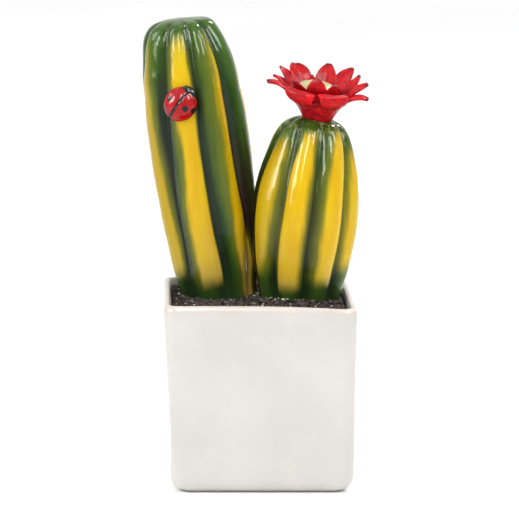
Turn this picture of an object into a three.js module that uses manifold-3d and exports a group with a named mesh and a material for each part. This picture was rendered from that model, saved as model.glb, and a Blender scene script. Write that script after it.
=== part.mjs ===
// Glazed ceramic ornament: two ribbed columnar cacti in a square white pot.
// A tall club-shaped cactus carries a ladybird, and a short egg-shaped one
// carries a red many-petalled flower. Millimetres, +Z up. The origin is the
// centre of the pot's flat underside; the front of the ornament faces -Y.

import * as THREE from "three";
import { mergeVertices } from "three/addons/utils/BufferGeometryUtils.js";
import Module from "manifold-3d";

const wasm = await Module();
wasm.setup();

// ------------------------------------------------------------------ sizes
const GAP = 0.3;                 // clearance between pieces that touch

// pot: square with soft corners, flat underside, walls that flare near the top
const POT_HEIGHT = 81.5;
const POT_FOOT_HALF = 32.6;      // half width of the flat underside
const POT_RIM_HALF = 41.15;      // half width just under the lip
const POT_CORNER = 6.0;          // radius of the upright corners
const POT_WALL = 2.8;
const POT_FLOOR = 4.2;           // thickness of the floor
const RIM_DROP = 1.5;            // hand-made rim: the right side is this much lower
const FOOT_X = 1.7;              // the foot's centre, right of the middle between the cacti
const POT_OUTER = [              // [z, half width, corner radius]
  [0.0, 32.6, 4.0], [0.5, 34.7, 4.6], [2.2, 37.1, 5.2], [4.6, 38.5, 5.8],
  [8.5, 39.1, 6.0], [24, 39.5, 6.0], [42, 39.9, 6.0], [56, 40.4, 6.0],
  [67, 40.8, 6.0], [75, 41.15, 6.0], [79.2, 41.1, 6.0], [80.9, 40.4, 5.6],
  [81.5, 39.5, 5.2],
];
const POT_INNER = [              // from the lip down to the inner floor
  [81.3, 38.7, 4.8], [80.2, 38.1, 4.4], [76, 37.9, 4.2], [66, 37.4, 4.0],
  [50, 36.5, 4.0], [24, 36.0, 4.0], [10, 35.6, 4.0], [6.2, 34.4, 4.0],
  [4.2, 31.5, 3.6],
];

// filling under the soil that the two cacti are set into
const BED_TOP = 66.0;
// loose soil: level near the walls, a little heaped round the foot of the
// short cactus and hollowed round the foot of the tall one
const SOIL_BOTTOM = BED_TOP + GAP;
const SOIL_EDGE = 77.8;          // along the walls
const SOIL_LEVEL = 78.5;         // over most of the pot
const SOIL_HEAP = 0.9;           // extra height against the short cactus
const SOIL_DIP = 1.9;            // lower by this against the tall cactus

// cacti: [t, x, y, z] along the spine, [t, radius], rib grooves in degrees
// (0 faces the front, positive to the right), one row for each height
const SHELL = 3.0;               // wall of the cast cacti
const TALL = {
  spine: [[54, -9.01, 19.3, 53.98], [79, -16.84, 19.4, 78.94], [100, -19.91, 19.3, 99.89], [120, -21.88, 19, 119.83], [140, -24.56, 18.6, 139.7], [160, -27.61, 18.1, 159.5], [174, -29.59, 17.8, 173.2], [184, -31.5, 17.6, 183], [193, -34.55, 17.5, 193.78], [202, -35.5, 17.4, 198.16]],
  radius: [[54, 13.25], [70, 15], [79, 16.21], [90, 18.59], [100, 20.06], [110, 21.43], [122, 22.3], [134, 22.89], [146, 22.95], [158, 22.78], [170, 21.3]],
  dome: 166, domeP: 2.2, domeQ: 2.3,
  heights: [74, 90, 108, 126, 144, 160, 172, 182, 190, 197],
  grooves: [
    [-92, -52, 15, 66, 106.4, 146.8, 187.2, 227.6],
    [-92, -42.5, 14.2, 64, 104.8, 145.6, 186.4, 227.2],
    [-92, -41, 6.4, 56, 98.4, 140.8, 183.2, 225.6],
    [-91, -42.8, 2.5, 45, 89.8, 134.6, 179.4, 224.2],
    [-91, -38.8, 1.6, 42, 87.4, 132.8, 178.2, 223.6],
    [-90, -34.8, 3.6, 42, 87.6, 133.2, 178.8, 224.4],
    [-88, -32.5, 4.6, 42.8, 88.6, 134.5, 180.3, 226.2],
    [-85, -30.5, 6.4, 42.6, 89.1, 135.6, 182, 228.5],
    [-80, -24, 12, 43, 90.4, 137.8, 185.2, 232.6],
    [-72, -15, 17, 46, 94.4, 142.8, 191.2, 239.6],
  ],
  depth: 0.13, power: 0.75,
  squeeze: { rib: 3, amount: 0.06, from: 134, to: 118 },
};
const SHORT = {
  spine: [[54, 19.05, 6.2, 54], [79, 18.47, 5.2, 79.05], [100, 19.68, 4, 100], [120, 21.07, 3.3, 120], [140, 22.77, 3.1, 139.6], [152, 23.5, 3, 153.06], [162, 23.85, 3, 157.79]],
  radius: [[54, 13.64], [70, 16.93], [79, 18.02], [90, 20.76], [100, 22.45], [110, 23.48], [120, 23.55]],
  dome: 118, domeP: 1.8, domeQ: 1.9,
  heights: [74, 88, 102, 116, 128, 138, 146, 152, 158],
  grooves: [
    [-84, -39.5, 2, 51, 97, 141.8, 186.5, 231.2],
    [-85, -36.2, 0.5, 43, 92, 137.8, 183.5, 229.2],
    [-86, -34.6, 1.2, 44.5, 91, 136.8, 182.5, 228.2],
    [-86, -30.3, 3.8, 46.8, 92, 137.5, 183, 228.5],
    [-85, -29.5, 5, 48.2, 93.5, 138.9, 184.2, 229.6],
    [-80, -30, 6.6, 53, 97, 142.8, 188.5, 234.2],
    [-74, -28.5, 9.8, 59, 102, 148, 194, 240],
    [-68, -29, 15, 67, 110, 155.5, 201, 246.5],
    [-60, -33, 25, 84, 130, 172.5, 215, 257.5],
  ],
  depth: 0.13, power: 0.75,
  squeeze: null,
};
const RIB_STEPS = 6;             // facets across one rib

// flower: base centre on the short cactus. Its face is turned a little to the
// front and dips to the right, while its axis stays in the front-to-back plane.
const FLOWER_BASE = [25.4, 1.4, 156.7];
const FLOWER_TO_FRONT = 10;      // degrees
const FLOWER_TO_RIGHT = 8;
const CUP_PROFILE = [            // [radius, height] from the base up and into the bowl
  [0, -0.6], [6.2, -0.6], [6.8, 0.8], [7.8, 2.8], [9.0, 5.0], [10.1, 7.0], [11.1, 9.0],
  [11.8, 10.8], [11.8, 11.6], [11.3, 12.1], [10.6, 11.9], [9.9, 11.0], [9.0, 10.5], [0, 10.5],
];
const CENTRE_RADIUS = 8.0;
const CENTRE_TOP = 15.8;

// petals: azimuth round the flower (0 = front, positive to the right),
// midline [radius, height], half widths along it, how far the edges lift
const PETAL_THICKNESS = 1.3;
const OUTER_PETALS = [
  // the two broad ones in front stand up and roll outward
  { az: -36, line: [[12.2, 8.9], [13.4, 11.6], [14.9, 14.4], [16.8, 15.4], [18.5, 13.6]], half: [4.8, 6, 6.7, 6.3, 4.2], arch: 0, wrap: 1 },
  { az: 24, line: [[12.2, 8.9], [13.4, 11.8], [14.9, 14.7], [16.8, 15.6], [18.7, 13.7]], half: [5, 6.3, 7, 6.4, 4.2], arch: 0, wrap: 1 },
  // the others follow round to the right, behind and to the left
  { az: 72.5, line: [[12.7, 10.2], [13.9, 11.4], [16.3, 13.2], [19.3, 13.9], [22.4, 13.5]], half: [2, 2.8, 3.1, 2.5, 0.7], arch: -0.5, wrap: 0.4 },
  { az: 94, line: [[12.7, 10.2], [13.7, 11.8], [16, 14.3], [19, 16.2], [21.8, 18.1]], half: [1.5, 2.1, 2.4, 2, 0.7], arch: 0.5, wrap: 0.4 },
  { az: 113, line: [[12.7, 10.2], [13.6, 11.8], [15.4, 14.4], [17.9, 16.6], [20.2, 19.7]], half: [1.4, 1.9, 2, 1.6, 0.6], arch: 0.4, wrap: 0.4 },
  { az: 133.5, line: [[12.7, 10.2], [13.5, 11.9], [15.5, 15], [18.5, 18], [21.8, 20.5]], half: [1.7, 2.3, 2.7, 2.4, 0.8], arch: 0.6, wrap: 0.4 },
  { az: 162, line: [[12.7, 10.2], [13.3, 11.9], [14.9, 14.9], [17, 17.7], [19.2, 20.1]], half: [2.6, 3.4, 3.8, 2.9, 0.8], arch: 0.8, wrap: 0.4 },
  { az: -173, line: [[12.7, 10.2], [13.3, 11.2], [14.2, 12.4], [15.4, 13.3], [16.7, 14.1]], half: [0.8, 0.9, 1, 0.8, 0.4], arch: 0.1, wrap: 0.4 },
  { az: -151.6, line: [[12.7, 10.2], [13.3, 11.8], [15, 14.4], [17.2, 16.6], [19.8, 18.2]], half: [2.2, 3.3, 4, 3.6, 1.6], arch: 0.8, wrap: 0.4 },
  { az: -126, line: [[12.7, 10.2], [13.4, 11.6], [15.2, 14.1], [17.4, 16.2], [19.7, 17.7]], half: [1.6, 2.1, 2.1, 1.7, 0.7], arch: 0.4, wrap: 0.4 },
  { az: -106, line: [[12.7, 10.2], [13.6, 11.4], [15.5, 13.2], [17.7, 14.4], [19.9, 14.9]], half: [1.6, 2.1, 2.2, 1.8, 0.7], arch: 0.3, wrap: 0.4 },
  { az: -83, line: [[12.7, 10.2], [13.8, 11.4], [16.2, 13.3], [19.2, 14.2], [22.2, 14.1]], half: [2.2, 2.9, 3, 2.3, 0.7], arch: 0.2, wrap: 0.4 },
];
const INNER_PETALS = [
  { az: -4, line: [[9.5, 12.4], [10.3, 14.4], [10.6, 16.5], [10.3, 18.6], [9.6, 20.3]], half: [3.2, 4.2, 3.8, 2.5, 0.6], arch: 0, wrap: 0.9 },
  { az: 38, line: [[9.5, 12.4], [10.3, 14], [11, 15.4], [11.6, 16.6], [12.1, 17.6]], half: [2, 2.8, 2.7, 1.9, 0.7], arch: 0, wrap: 0.6 },
  { az: 100, line: [[9.5, 12.4], [10.4, 14], [11.2, 15.4], [12, 16.7], [12.8, 17.8]], half: [1.9, 2.5, 2.4, 1.8, 0.6], arch: 0, wrap: 0.5 },
  { az: -58, line: [[9.5, 12.4], [10.4, 13.6], [11.3, 14.5], [12.2, 15.3], [13.2, 16]], half: [1.8, 2.5, 2.4, 1.8, 0.6], arch: 0, wrap: 0.5 },
  { az: -104, line: [[9.5, 12.4], [10.3, 13.8], [11, 14.9], [11.8, 15.8], [12.6, 16.6]], half: [1.8, 2.3, 2.2, 1.7, 0.6], arch: 0, wrap: 0.5 },
];

// ladybird on the second rib of the tall cactus
const BUG_RIB = 1;               // rib number, counted from the first groove
const BUG_T = 165.4;             // place along the cactus spine
const BUG_PHASE = 0.55;          // place across the rib, 0 to 1
const BUG_LEAN = 39;             // head turned this far right of upright
const BUG_LENGTH = 15.6;
const BUG_WIDTH = 14.2;
const BUG_HEIGHT = 5.6;

// ---------------------------------------------------------------- helpers
const rad = THREE.MathUtils.degToRad;
const V = (x, y, z) => new THREE.Vector3(x, y, z);

// natural cubic curve through a table
function curveThrough(xs, ys) {
  const n = xs.length, h = [], a = Array(n).fill(0), b = Array(n).fill(1),
    c = Array(n).fill(0), d = Array(n).fill(0), m = Array(n).fill(0);
  for (let i = 0; i < n - 1; i++) h.push(xs[i + 1] - xs[i]);
  for (let i = 1; i < n - 1; i++) {
    a[i] = h[i - 1]; b[i] = 2 * (h[i - 1] + h[i]); c[i] = h[i];
    d[i] = 6 * ((ys[i + 1] - ys[i]) / h[i] - (ys[i] - ys[i - 1]) / h[i - 1]);
  }
  for (let i = 1; i < n; i++) {
    const w = a[i] / b[i - 1];
    b[i] -= w * c[i - 1];
    d[i] -= w * d[i - 1];
  }
  m[n - 1] = d[n - 1] / b[n - 1];
  for (let i = n - 2; i >= 0; i--) m[i] = (d[i] - c[i] * m[i + 1]) / b[i];
  return (x) => {
    let i = 0;
    while (i < n - 2 && x > xs[i + 1]) i++;
    const t0 = xs[i + 1] - x, t1 = x - xs[i], k = h[i];
    return (m[i] * t0 ** 3 + m[i + 1] * t1 ** 3) / (6 * k)
      + (ys[i] / k - (m[i] * k) / 6) * t0 + (ys[i + 1] / k - (m[i + 1] * k) / 6) * t1;
  };
}

// closed solid through rings of equal count; the first and last may be one point.
// Rings run anticlockwise seen from above, and the sequence goes round the material.
function loft(rings) {
  const pos = [], start = [], n = Math.max(...rings.map((r) => r.length));
  for (const r of rings) {
    start.push(pos.length / 3);
    for (const p of r) pos.push(p.x, p.y, p.z);
  }
  const idx = [];
  for (let i = 0; i < rings.length - 1; i++) {
    const A = rings[i].length === 1, B = rings[i + 1].length === 1;
    for (let j = 0; j < n; j++) {
      const k = (j + 1) % n;
      const a = start[i] + (A ? 0 : j), b = start[i] + (A ? 0 : k);
      const c = start[i + 1] + (B ? 0 : j), d = start[i + 1] + (B ? 0 : k);
      if (A) idx.push(a, d, c);
      else if (B) idx.push(a, b, c);
      else idx.push(a, b, d, a, d, c);
    }
  }
  const g = new THREE.BufferGeometry();
  g.setAttribute("position", new THREE.Float32BufferAttribute(pos, 3));
  g.setIndex(idx);
  return g;
}

function solid(geometry) {
  const g = geometry.clone();
  g.deleteAttribute("normal");
  g.deleteAttribute("uv");
  const m = mergeVertices(g, 1e-4);
  const index = m.index.array, keep = [];
  for (let i = 0; i < index.length; i += 3) {
    const [a, b, c] = [index[i], index[i + 1], index[i + 2]];
    if (a !== b && b !== c && a !== c) keep.push(a, b, c);
  }
  return new wasm.Manifold(new wasm.Mesh({
    numProp: 3,
    vertProperties: new Float32Array(m.attributes.position.array),
    triVerts: new Uint32Array(keep),
  }));
}

function geometryOf(manifold) {
  const m = manifold.getMesh();
  const g = new THREE.BufferGeometry();
  g.setAttribute("position", new THREE.Float32BufferAttribute(Array.from(m.vertProperties), 3));
  g.setIndex(Array.from(m.triVerts));
  return g;
}

// ------------------------------------------------------------------- pot
const CORNER_STEPS = 4;
const SIDE_STEPS = 3;
// rounded square, anticlockwise from above, with points along its sides
function roundedSquare(half, corner, z, warp = true) {
  const pts = [];
  const arms = [[1, 1, 0], [-1, 1, 90], [-1, -1, 180], [1, -1, 270]];
  for (let s = 0; s < 4; s++) {
    const [sx, sy, a0] = arms[s];
    for (let i = 0; i <= CORNER_STEPS; i++) {
      const a = rad(a0 + (90 * i) / CORNER_STEPS);
      pts.push(V(sx * (half - corner) + corner * Math.cos(a), sy * (half - corner) + corner * Math.sin(a), z));
    }
    const [nx, ny] = arms[(s + 1) % 4];
    const a = rad(a0 + 90);
    const p = V(sx * (half - corner) + corner * Math.cos(a), sy * (half - corner) + corner * Math.sin(a), z);
    const q = V(nx * (half - corner) + corner * Math.cos(a), ny * (half - corner) + corner * Math.sin(a), z);
    for (let i = 1; i < SIDE_STEPS; i++) pts.push(p.clone().lerp(q, i / SIDE_STEPS));
  }
  if (warp) for (const p of pts) p.z = rimZ(p.x, p.z);
  for (const p of pts) p.x += wallMiddle(z);
  return pts;
}
// the walls stand askew: the rim's middle is left of the foot's
function wallMiddle(z) {
  return FOOT_X - 0.022 * Math.max(0, z - 22);
}
// the hand-made rim sinks towards the right
function rimZ(x, z) {
  if (z < 30) return z;
  const k = Math.max(0, (x + 6) / 46.5);
  return z - RIM_DROP * k * k * ((z - 30) / (POT_HEIGHT - 30));
}

function pot() {
  const rings = [[V(0, 0, 0)]];
  for (const [z, half, corner] of POT_OUTER) rings.push(roundedSquare(half, corner, z));
  for (const [z, half, corner] of POT_INNER) rings.push(roundedSquare(half, corner, z));
  rings.push([V(0, 0, POT_FLOOR)]);
  return loft(rings);
}

// half width of the pot's inside at a height
function innerHalf(z) {
  for (let i = 0; i < POT_INNER.length - 1; i++) {
    const [z1, h1] = POT_INNER[i], [z0, h0] = POT_INNER[i + 1];
    if (z <= z1 && z >= z0) return h0 + ((h1 - h0) * (z - z0)) / (z1 - z0);
  }
  return POT_INNER[0][1];
}

// ---------------------------------------------------------------- cacti
function cactus(spec) {
  const t = spec.spine.map((p) => p[0]);
  const fx = curveThrough(t, spec.spine.map((p) => p[1]));
  const fy = curveThrough(t, spec.spine.map((p) => p[2]));
  const fz = curveThrough(t, spec.spine.map((p) => p[3]));
  const fr = curveThrough(spec.radius.map((p) => p[0]), spec.radius.map((p) => p[1]));
  const t0 = t[0], t1 = t[t.length - 1];
  const centre = (s) => V(fx(s), fy(s), fz(s));
  const frame = (s) => {
    const e = 1e-3 * (t1 - t0);
    const w = centre(Math.min(t1, s + e)).sub(centre(Math.max(t0, s - e))).normalize();
    const u = V(1, 0, 0); u.addScaledVector(w, -u.dot(w)).normalize();
    const v = w.clone().cross(u);
    return [u, v, w];
  };
  const radius = (s) => {
    if (s <= spec.dome) return fr(s);
    const k = (s - spec.dome) / (t1 - spec.dome);
    return fr(spec.dome) * Math.max(0, 1 - k ** spec.domeP) ** (1 / spec.domeQ);
  };
  const H = spec.heights, angles = spec.grooves[0].map((_, j) => curveThrough(H, spec.grooves.map((g) => g[j])));
  const groove = (i, s) => {
    const n = angles.length, j = ((i % n) + n) % n;
    return 360 * Math.floor(i / n) + angles[j](THREE.MathUtils.clamp(s, H[0], H[H.length - 1]));
  };
  // point on the ribbed skin: rib number, phase across it, place along the spine
  const skin = (rib, phase, s, grow = 0) => {
    const a = groove(rib, s), b = groove(rib + 1, s);
    const th = rad(a + (b - a) * phase);
    const bulge = Math.sin(Math.PI * phase) ** spec.power;
    let r = radius(s) * (1 - spec.depth * (1 - bulge));
    if (spec.squeeze && rib === spec.squeeze.rib) {
      const q = spec.squeeze, k = THREE.MathUtils.clamp((q.from - s) / (q.from - q.to), 0, 1);
      r *= 1 - q.amount * k * Math.sin(Math.PI * phase);
    }
    r += grow;
    const [u, v] = frame(s);
    return centre(s).addScaledVector(u, r * Math.sin(th)).addScaledVector(v, -r * Math.cos(th));
  };
  const ribs = spec.grooves[0].length;
  const ring = (s, grow = 0) => {
    const pts = [];
    for (let i = 0; i < ribs; i++) for (let j = 0; j < RIB_STEPS; j++) pts.push(skin(i, j / RIB_STEPS, s, grow));
    return pts;
  };
  const innerRing = (s, r) => {
    const pts = [], [u, v] = frame(s), c = centre(s);
    for (let i = 0; i < ribs; i++) for (let j = 0; j < RIB_STEPS; j++) {
      const a = groove(i, s), b = groove(i + 1, s), th = rad(a + ((b - a) * j) / RIB_STEPS);
      pts.push(c.clone().addScaledVector(u, r * Math.sin(th)).addScaledVector(v, -r * Math.cos(th)));
    }
    return pts;
  };
  return { spec, t0, t1, centre, frame, radius, skin, ring, innerRing };
}

// heights of the rings: even along the body, closing up over the dome
function stations(c, body, dome) {
  const out = [], d = c.spec.dome;
  for (let i = 0; i < body; i++) out.push(c.t0 + ((d - c.t0) * i) / body);
  for (let i = 0; i < dome; i++) out.push(d + (c.t1 - d) * Math.sin((Math.PI / 2) * (i / dome)));
  return out;
}

// hollow casting, open at the foot
function cactusShell(c, body, dome) {
  const inner = [], st = stations(c, Math.ceil(body / 3), Math.ceil(dome / 2));
  for (const s of st) {
    const r = c.radius(s) * (1 - c.spec.depth) - SHELL;
    if (r > 2.5 && s < c.t1 - SHELL * 2.2) inner.push(c.innerRing(s, r));
  }
  inner.reverse();
  const top = inner[0].reduce((a, p) => a.add(p), V(0, 0, 0)).multiplyScalar(1 / inner[0].length);
  const rings = [[top], ...inner];
  for (const s of stations(c, body, dome)) rings.push(c.ring(s));
  rings.push([c.centre(c.t1)]);
  return loft(rings);
}

// solid envelope of a cactus, larger by the clearance, used to cut sockets
function envelope(c, body, dome, grow = GAP) {
  const [, , w] = c.frame(c.t0);
  const rings = [];
  const st = stations(c, body, dome);
  const base = c.ring(c.t0, grow).map((p) => p.clone().addScaledVector(w, -grow));
  rings.push([c.centre(c.t0).addScaledVector(w, -grow)], base);
  for (const s of st.slice(1)) {     // over the dome the skin faces up, so it grows that way too
    const lift = grow * THREE.MathUtils.clamp((s - c.spec.dome) / (c.t1 - c.spec.dome), 0, 1) ** 2;
    const up = c.frame(s)[2];
    rings.push(c.ring(s, grow).map((p) => p.addScaledVector(up, lift)));
  }
  const [, , wt] = c.frame(c.t1);
  rings.push([c.centre(c.t1).addScaledVector(wt, grow)]);
  return solid(loft(rings));
}

const tall = cactus(TALL), short = cactus(SHORT);
const tallCut = envelope(tall, 14, 8), shortCut = envelope(short, 11, 8);

// ------------------------------------------------------- filling and soil
function fillingBed() {
  const rings = [[V(0, 0, POT_FLOOR + GAP)]];
  for (const [z, back] of [[POT_FLOOR + GAP, 31.0], [8.5, 34.6], [12, 35.2], [24, 35.6], [50, 36.1], [BED_TOP, 36.9]]) {
    rings.push(roundedSquare(back, 3.6, z, false));
  }
  rings.push([V(0, 0, BED_TOP)]);
  return geometryOf(solid(loft(rings)).subtract(tallCut).subtract(shortCut));
}

function soilHeight(x, y) {
  const edge = Math.max(Math.abs(x), Math.abs(y)) / 37;
  const toCactus = (c, reach) => {
    const p = c.centre(79), d = Math.hypot(x - p.x, y - p.y) - c.radius(79);
    return Math.exp(-((Math.max(0, d) / reach) ** 2));
  };
  let z = SOIL_EDGE + (SOIL_LEVEL - SOIL_EDGE) * (1 - THREE.MathUtils.smoothstep(edge, 0.6, 1.0));
  z += (SOIL_HEAP * toCactus(short, 8) - SOIL_DIP * toCactus(tall, 16)) * (1 - THREE.MathUtils.smoothstep(edge, 0.8, 1.0));
  z += 0.3 * Math.sin(x * 0.21 + 1.3) * Math.cos(y * 0.17 - 0.4);
  return rimZ(x, z);
}

function soil() {
  const rings = [[V(0, 0, SOIL_BOTTOM)], roundedSquare(innerHalf(68) - GAP - 0.3, 3.7, SOIL_BOTTOM, false)];
  const outer = roundedSquare(innerHalf(76) - GAP - 0.2, 3.9, SOIL_EDGE, false);
  for (const k of [1, 0.88, 0.74, 0.58, 0.4, 0.2]) {
    rings.push(outer.map((p) => V(p.x * k, p.y * k, soilHeight(p.x * k, p.y * k))));
  }
  rings.push([V(0, 0, soilHeight(0, 0))]);
  return geometryOf(solid(loft(rings)).subtract(tallCut).subtract(shortCut));
}

// --------------------------------------------------------------- flower
const flowerOrigin = V(...FLOWER_BASE);
const flowerAxis = V(0, -Math.sin(rad(FLOWER_TO_FRONT)), Math.cos(rad(FLOWER_TO_FRONT)));
const flowerFront = V(0, -Math.cos(rad(FLOWER_TO_FRONT)), -Math.sin(rad(FLOWER_TO_FRONT)));
const flowerRight = V(Math.cos(rad(FLOWER_TO_RIGHT)), 0, -Math.sin(rad(FLOWER_TO_RIGHT)));
const flowerPoint = (az, r, h) => flowerOrigin.clone()
  .addScaledVector(flowerRight, r * Math.sin(rad(az)))
  .addScaledVector(flowerFront, r * Math.cos(rad(az)))
  .addScaledVector(flowerAxis, h);

// body of revolution about the flower's axis
function flowerTurned(profile, n) {
  const rings = profile.map(([r, h]) => {
    if (r === 0) return [flowerPoint(0, 0, h)];
    const pts = [];
    for (let j = 0; j < n; j++) pts.push(flowerPoint((360 * j) / n, r, h));
    return pts;
  });
  return loft(rings);
}

function flowerCup() {
  return geometryOf(solid(flowerTurned(CUP_PROFILE, 26)).subtract(shortCut));
}

function flowerCentre() {
  const r = CENTRE_RADIUS, top = CENTRE_TOP;
  return flowerTurned([[0, 10.8], [r - 0.6, 10.8], [r, 11.4], [r, top - 1.6], [r - 0.7, top - 0.7],
    [r - 2.6, top - 0.2], [r - 5, top], [0, top]], 24);
}

// a petal blade: closed, with an even thickness, tapering to its tip. Its root
// follows the round of the cup, and the blade flattens out by its wrap value.
function petal({ az, line, half, arch, wrap }) {
  const n = line.length, ts = line.map((_, i) => i / (n - 1));
  const fr = curveThrough(ts, line.map((p) => p[0])), fh = curveThrough(ts, line.map((p) => p[1]));
  const fw = curveThrough(ts, half);
  const rings = [], along = 6, across = 4;
  for (let i = 0; i <= along; i++) {
    const t = i / along, e = 1e-3;
    const dr = fr(Math.min(1, t + e)) - fr(Math.max(0, t - e)), dh = fh(Math.min(1, t + e)) - fh(Math.max(0, t - e));
    const L = Math.hypot(dr, dh), nr = -dh / L, nh = dr / L;   // towards the blade's upper face
    const r = fr(t), h = fh(t), w = fw(t);
    const round = 1 + (wrap - 1) * THREE.MathUtils.smoothstep(t, 0, 0.8);
    const upper = [], lower = [];
    for (let j = 0; j <= across; j++) {
      const s = -1 + (2 * j) / across;
      const lift = arch * s * s * Math.min(1, w / 3.5) * THREE.MathUtils.smoothstep(t, 0.15, 0.7);
      const th = (PETAL_THICKNESS / 2) * (1 - 0.35 * t) * (1 - 0.45 * s * s);
      const turn = (w * s) / r;                                  // bent round the flower
      const flat = [Math.hypot(r, w * s), Math.atan2(w * s, r)]; // straight across
      const R = flat[0] + (r - flat[0]) * round, A = flat[1] + (turn - flat[1]) * round;
      for (const [face, k] of [[upper, th], [lower, -th]]) {
        face.push(flowerPoint(az + THREE.MathUtils.radToDeg(A), R + nr * (lift + k), h + nh * (lift + k)));
      }
    }
    rings.push([...upper, ...lower.reverse()]);
  }
  const mid = (r) => r.reduce((a, p) => a.add(p), V(0, 0, 0)).multiplyScalar(1 / r.length);
  const first = mid(rings[0]), last = mid(rings[rings.length - 1]);
  const g = loft([[first], ...rings, [last]]);
  if (signedVolume(g) < 0) flip(g);
  return g;
}

function signedVolume(g) {
  const p = g.attributes.position, ix = g.index.array;
  let v = 0;
  for (let i = 0; i < ix.length; i += 3) {
    const a = V().fromBufferAttribute(p, ix[i]), b = V().fromBufferAttribute(p, ix[i + 1]), c = V().fromBufferAttribute(p, ix[i + 2]);
    v += a.dot(b.cross(c)) / 6;
  }
  return v;
}
function flip(g) {
  const ix = g.index.array;
  for (let i = 0; i < ix.length; i += 3) [ix[i + 1], ix[i + 2]] = [ix[i + 2], ix[i + 1]];
}

// -------------------------------------------------------------- ladybird
function bugFrame() {
  const e = 0.02, p = tall.skin(BUG_RIB, BUG_PHASE, BUG_T);
  const du = tall.skin(BUG_RIB, 0.5 + e, BUG_T).sub(tall.skin(BUG_RIB, 0.5 - e, BUG_T)).normalize();
  const dt = tall.skin(BUG_RIB, 0.5, BUG_T + 1).sub(tall.skin(BUG_RIB, 0.5, BUG_T - 1)).normalize();
  const out = du.clone().cross(dt).normalize();
  const up = dt.clone().addScaledVector(out, -dt.dot(out)).normalize();
  const right = up.clone().cross(out);
  const head = up.clone().multiplyScalar(Math.cos(rad(BUG_LEAN))).addScaledVector(right, Math.sin(rad(BUG_LEAN)));
  const side = head.clone().cross(out);
  return { p, out, head, side };
}
const bug = bugFrame();
// egg-shaped body with half axes along head, side and out
function egg(offset, a, b, c, rows, cols, grow = 0) {
  const at = (u, v, w) => bug.p.clone().addScaledVector(bug.head, offset[0] + (a + grow) * u)
    .addScaledVector(bug.side, offset[1] + (b + grow) * v).addScaledVector(bug.out, offset[2] + (c + grow) * w);
  const rings = [[at(0, 0, -1)]];
  for (let i = 1; i < rows; i++) {
    const f = -Math.PI / 2 + (Math.PI * i) / rows, ring = [];
    for (let j = 0; j < cols; j++) {
      const th = (2 * Math.PI * j) / cols;
      ring.push(at(Math.cos(f) * Math.cos(th), -Math.cos(f) * Math.sin(th), Math.sin(f)));
    }
    rings.push(ring);
  }
  rings.push([at(0, 0, 1)]);
  const g = loft(rings);
  if (signedVolume(g) < 0) flip(g);
  return solid(g);
}
const BUG_BODY = [[-0.9, 0, 0.2], BUG_LENGTH / 2 - 0.9, BUG_WIDTH / 2, BUG_HEIGHT];
const BUG_HEAD = [[BUG_LENGTH / 2 - 2.6, 0, 0.3], 2.4, 3.7, 2.9];
const bugBody = geometryOf(egg(...BUG_BODY, 10, 20).subtract(tallCut));
const bugHead = geometryOf(egg(...BUG_HEAD, 8, 14).subtract(egg(...BUG_BODY, 10, 20, GAP)).subtract(tallCut));

// ------------------------------------------------------------- assembly
const glaze = (color, roughness) => new THREE.MeshStandardMaterial({ color, roughness, metalness: 0 });
const object = new THREE.Group();
// the origin moves to the centre of the pot's underside
function add(name, geometry, material) {
  geometry.deleteAttribute("normal");
  geometry.translate(-FOOT_X, 0, 0);
  const g = mergeVertices(geometry, 1e-5);
  g.computeVertexNormals();
  const mesh = new THREE.Mesh(g, material);
  mesh.name = name;
  object.add(mesh);
}

add("pot", pot(), glaze(0xe6e3dd, 0.22));
add("filling_bed", fillingBed(), glaze(0xcfc9bd, 0.9));
add("soil", soil(), glaze(0x3b2f2a, 0.95));
add("tall_cactus", cactusShell(tall, 14, 8), glaze(0x4f6b33, 0.2));
add("short_cactus", cactusShell(short, 11, 8), glaze(0x5f7a35, 0.2));
add("flower_cup", flowerCup(), glaze(0xb9232c, 0.25));
OUTER_PETALS.forEach((p, i) => add(`outer_petal_${String(i + 1).padStart(2, "0")}`, petal(p), glaze(0xc8202c, 0.25)));
INNER_PETALS.forEach((p, i) => add(`inner_petal_${String(i + 1).padStart(2, "0")}`, petal(p), glaze(0xc8202c, 0.25)));
add("flower_centre", flowerCentre(), glaze(0xc3cc8a, 0.4));
add("ladybird_body", bugBody, glaze(0xd3202a, 0.2));
add("ladybird_head", bugHead, glaze(0x1c1a19, 0.25));

export default object;
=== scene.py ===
# Glazed ceramic cactus ornament in a square white pot, seen as in the photograph.
# Lengths are in millimetres until a mesh is made; meshes are in metres.
import math
import random

import bpy
import numpy as np
from mathutils import Matrix, Vector, noise


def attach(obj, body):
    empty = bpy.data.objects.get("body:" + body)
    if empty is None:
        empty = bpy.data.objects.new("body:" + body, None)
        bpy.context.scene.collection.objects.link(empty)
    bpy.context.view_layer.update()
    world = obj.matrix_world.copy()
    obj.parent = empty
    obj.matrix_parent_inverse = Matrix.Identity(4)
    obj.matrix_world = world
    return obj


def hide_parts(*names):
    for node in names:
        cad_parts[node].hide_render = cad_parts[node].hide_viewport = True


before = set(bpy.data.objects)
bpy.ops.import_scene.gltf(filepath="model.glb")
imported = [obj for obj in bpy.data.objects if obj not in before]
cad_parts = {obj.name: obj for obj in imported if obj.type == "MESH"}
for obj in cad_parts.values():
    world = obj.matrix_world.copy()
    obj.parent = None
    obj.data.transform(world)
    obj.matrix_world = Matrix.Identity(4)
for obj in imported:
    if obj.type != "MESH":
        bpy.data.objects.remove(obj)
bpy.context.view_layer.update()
MM = 0.001
FOOT_X = 1.7  # the foot's centre; everything moves left by it when a mesh is made
rng = random.Random(7)

# ------------------------------------------------------------------ camera
CAM_DIST, CAM_AZ, CAM_HEIGHT = 1300.0, -1.6, 302.0
CAM_LOOK = (0.85, 0.0, 95.2)
CAM_FOCAL_PX, IMAGE_PX, CAM_ROLL = 3031.0, 519.0, 0.4


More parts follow.
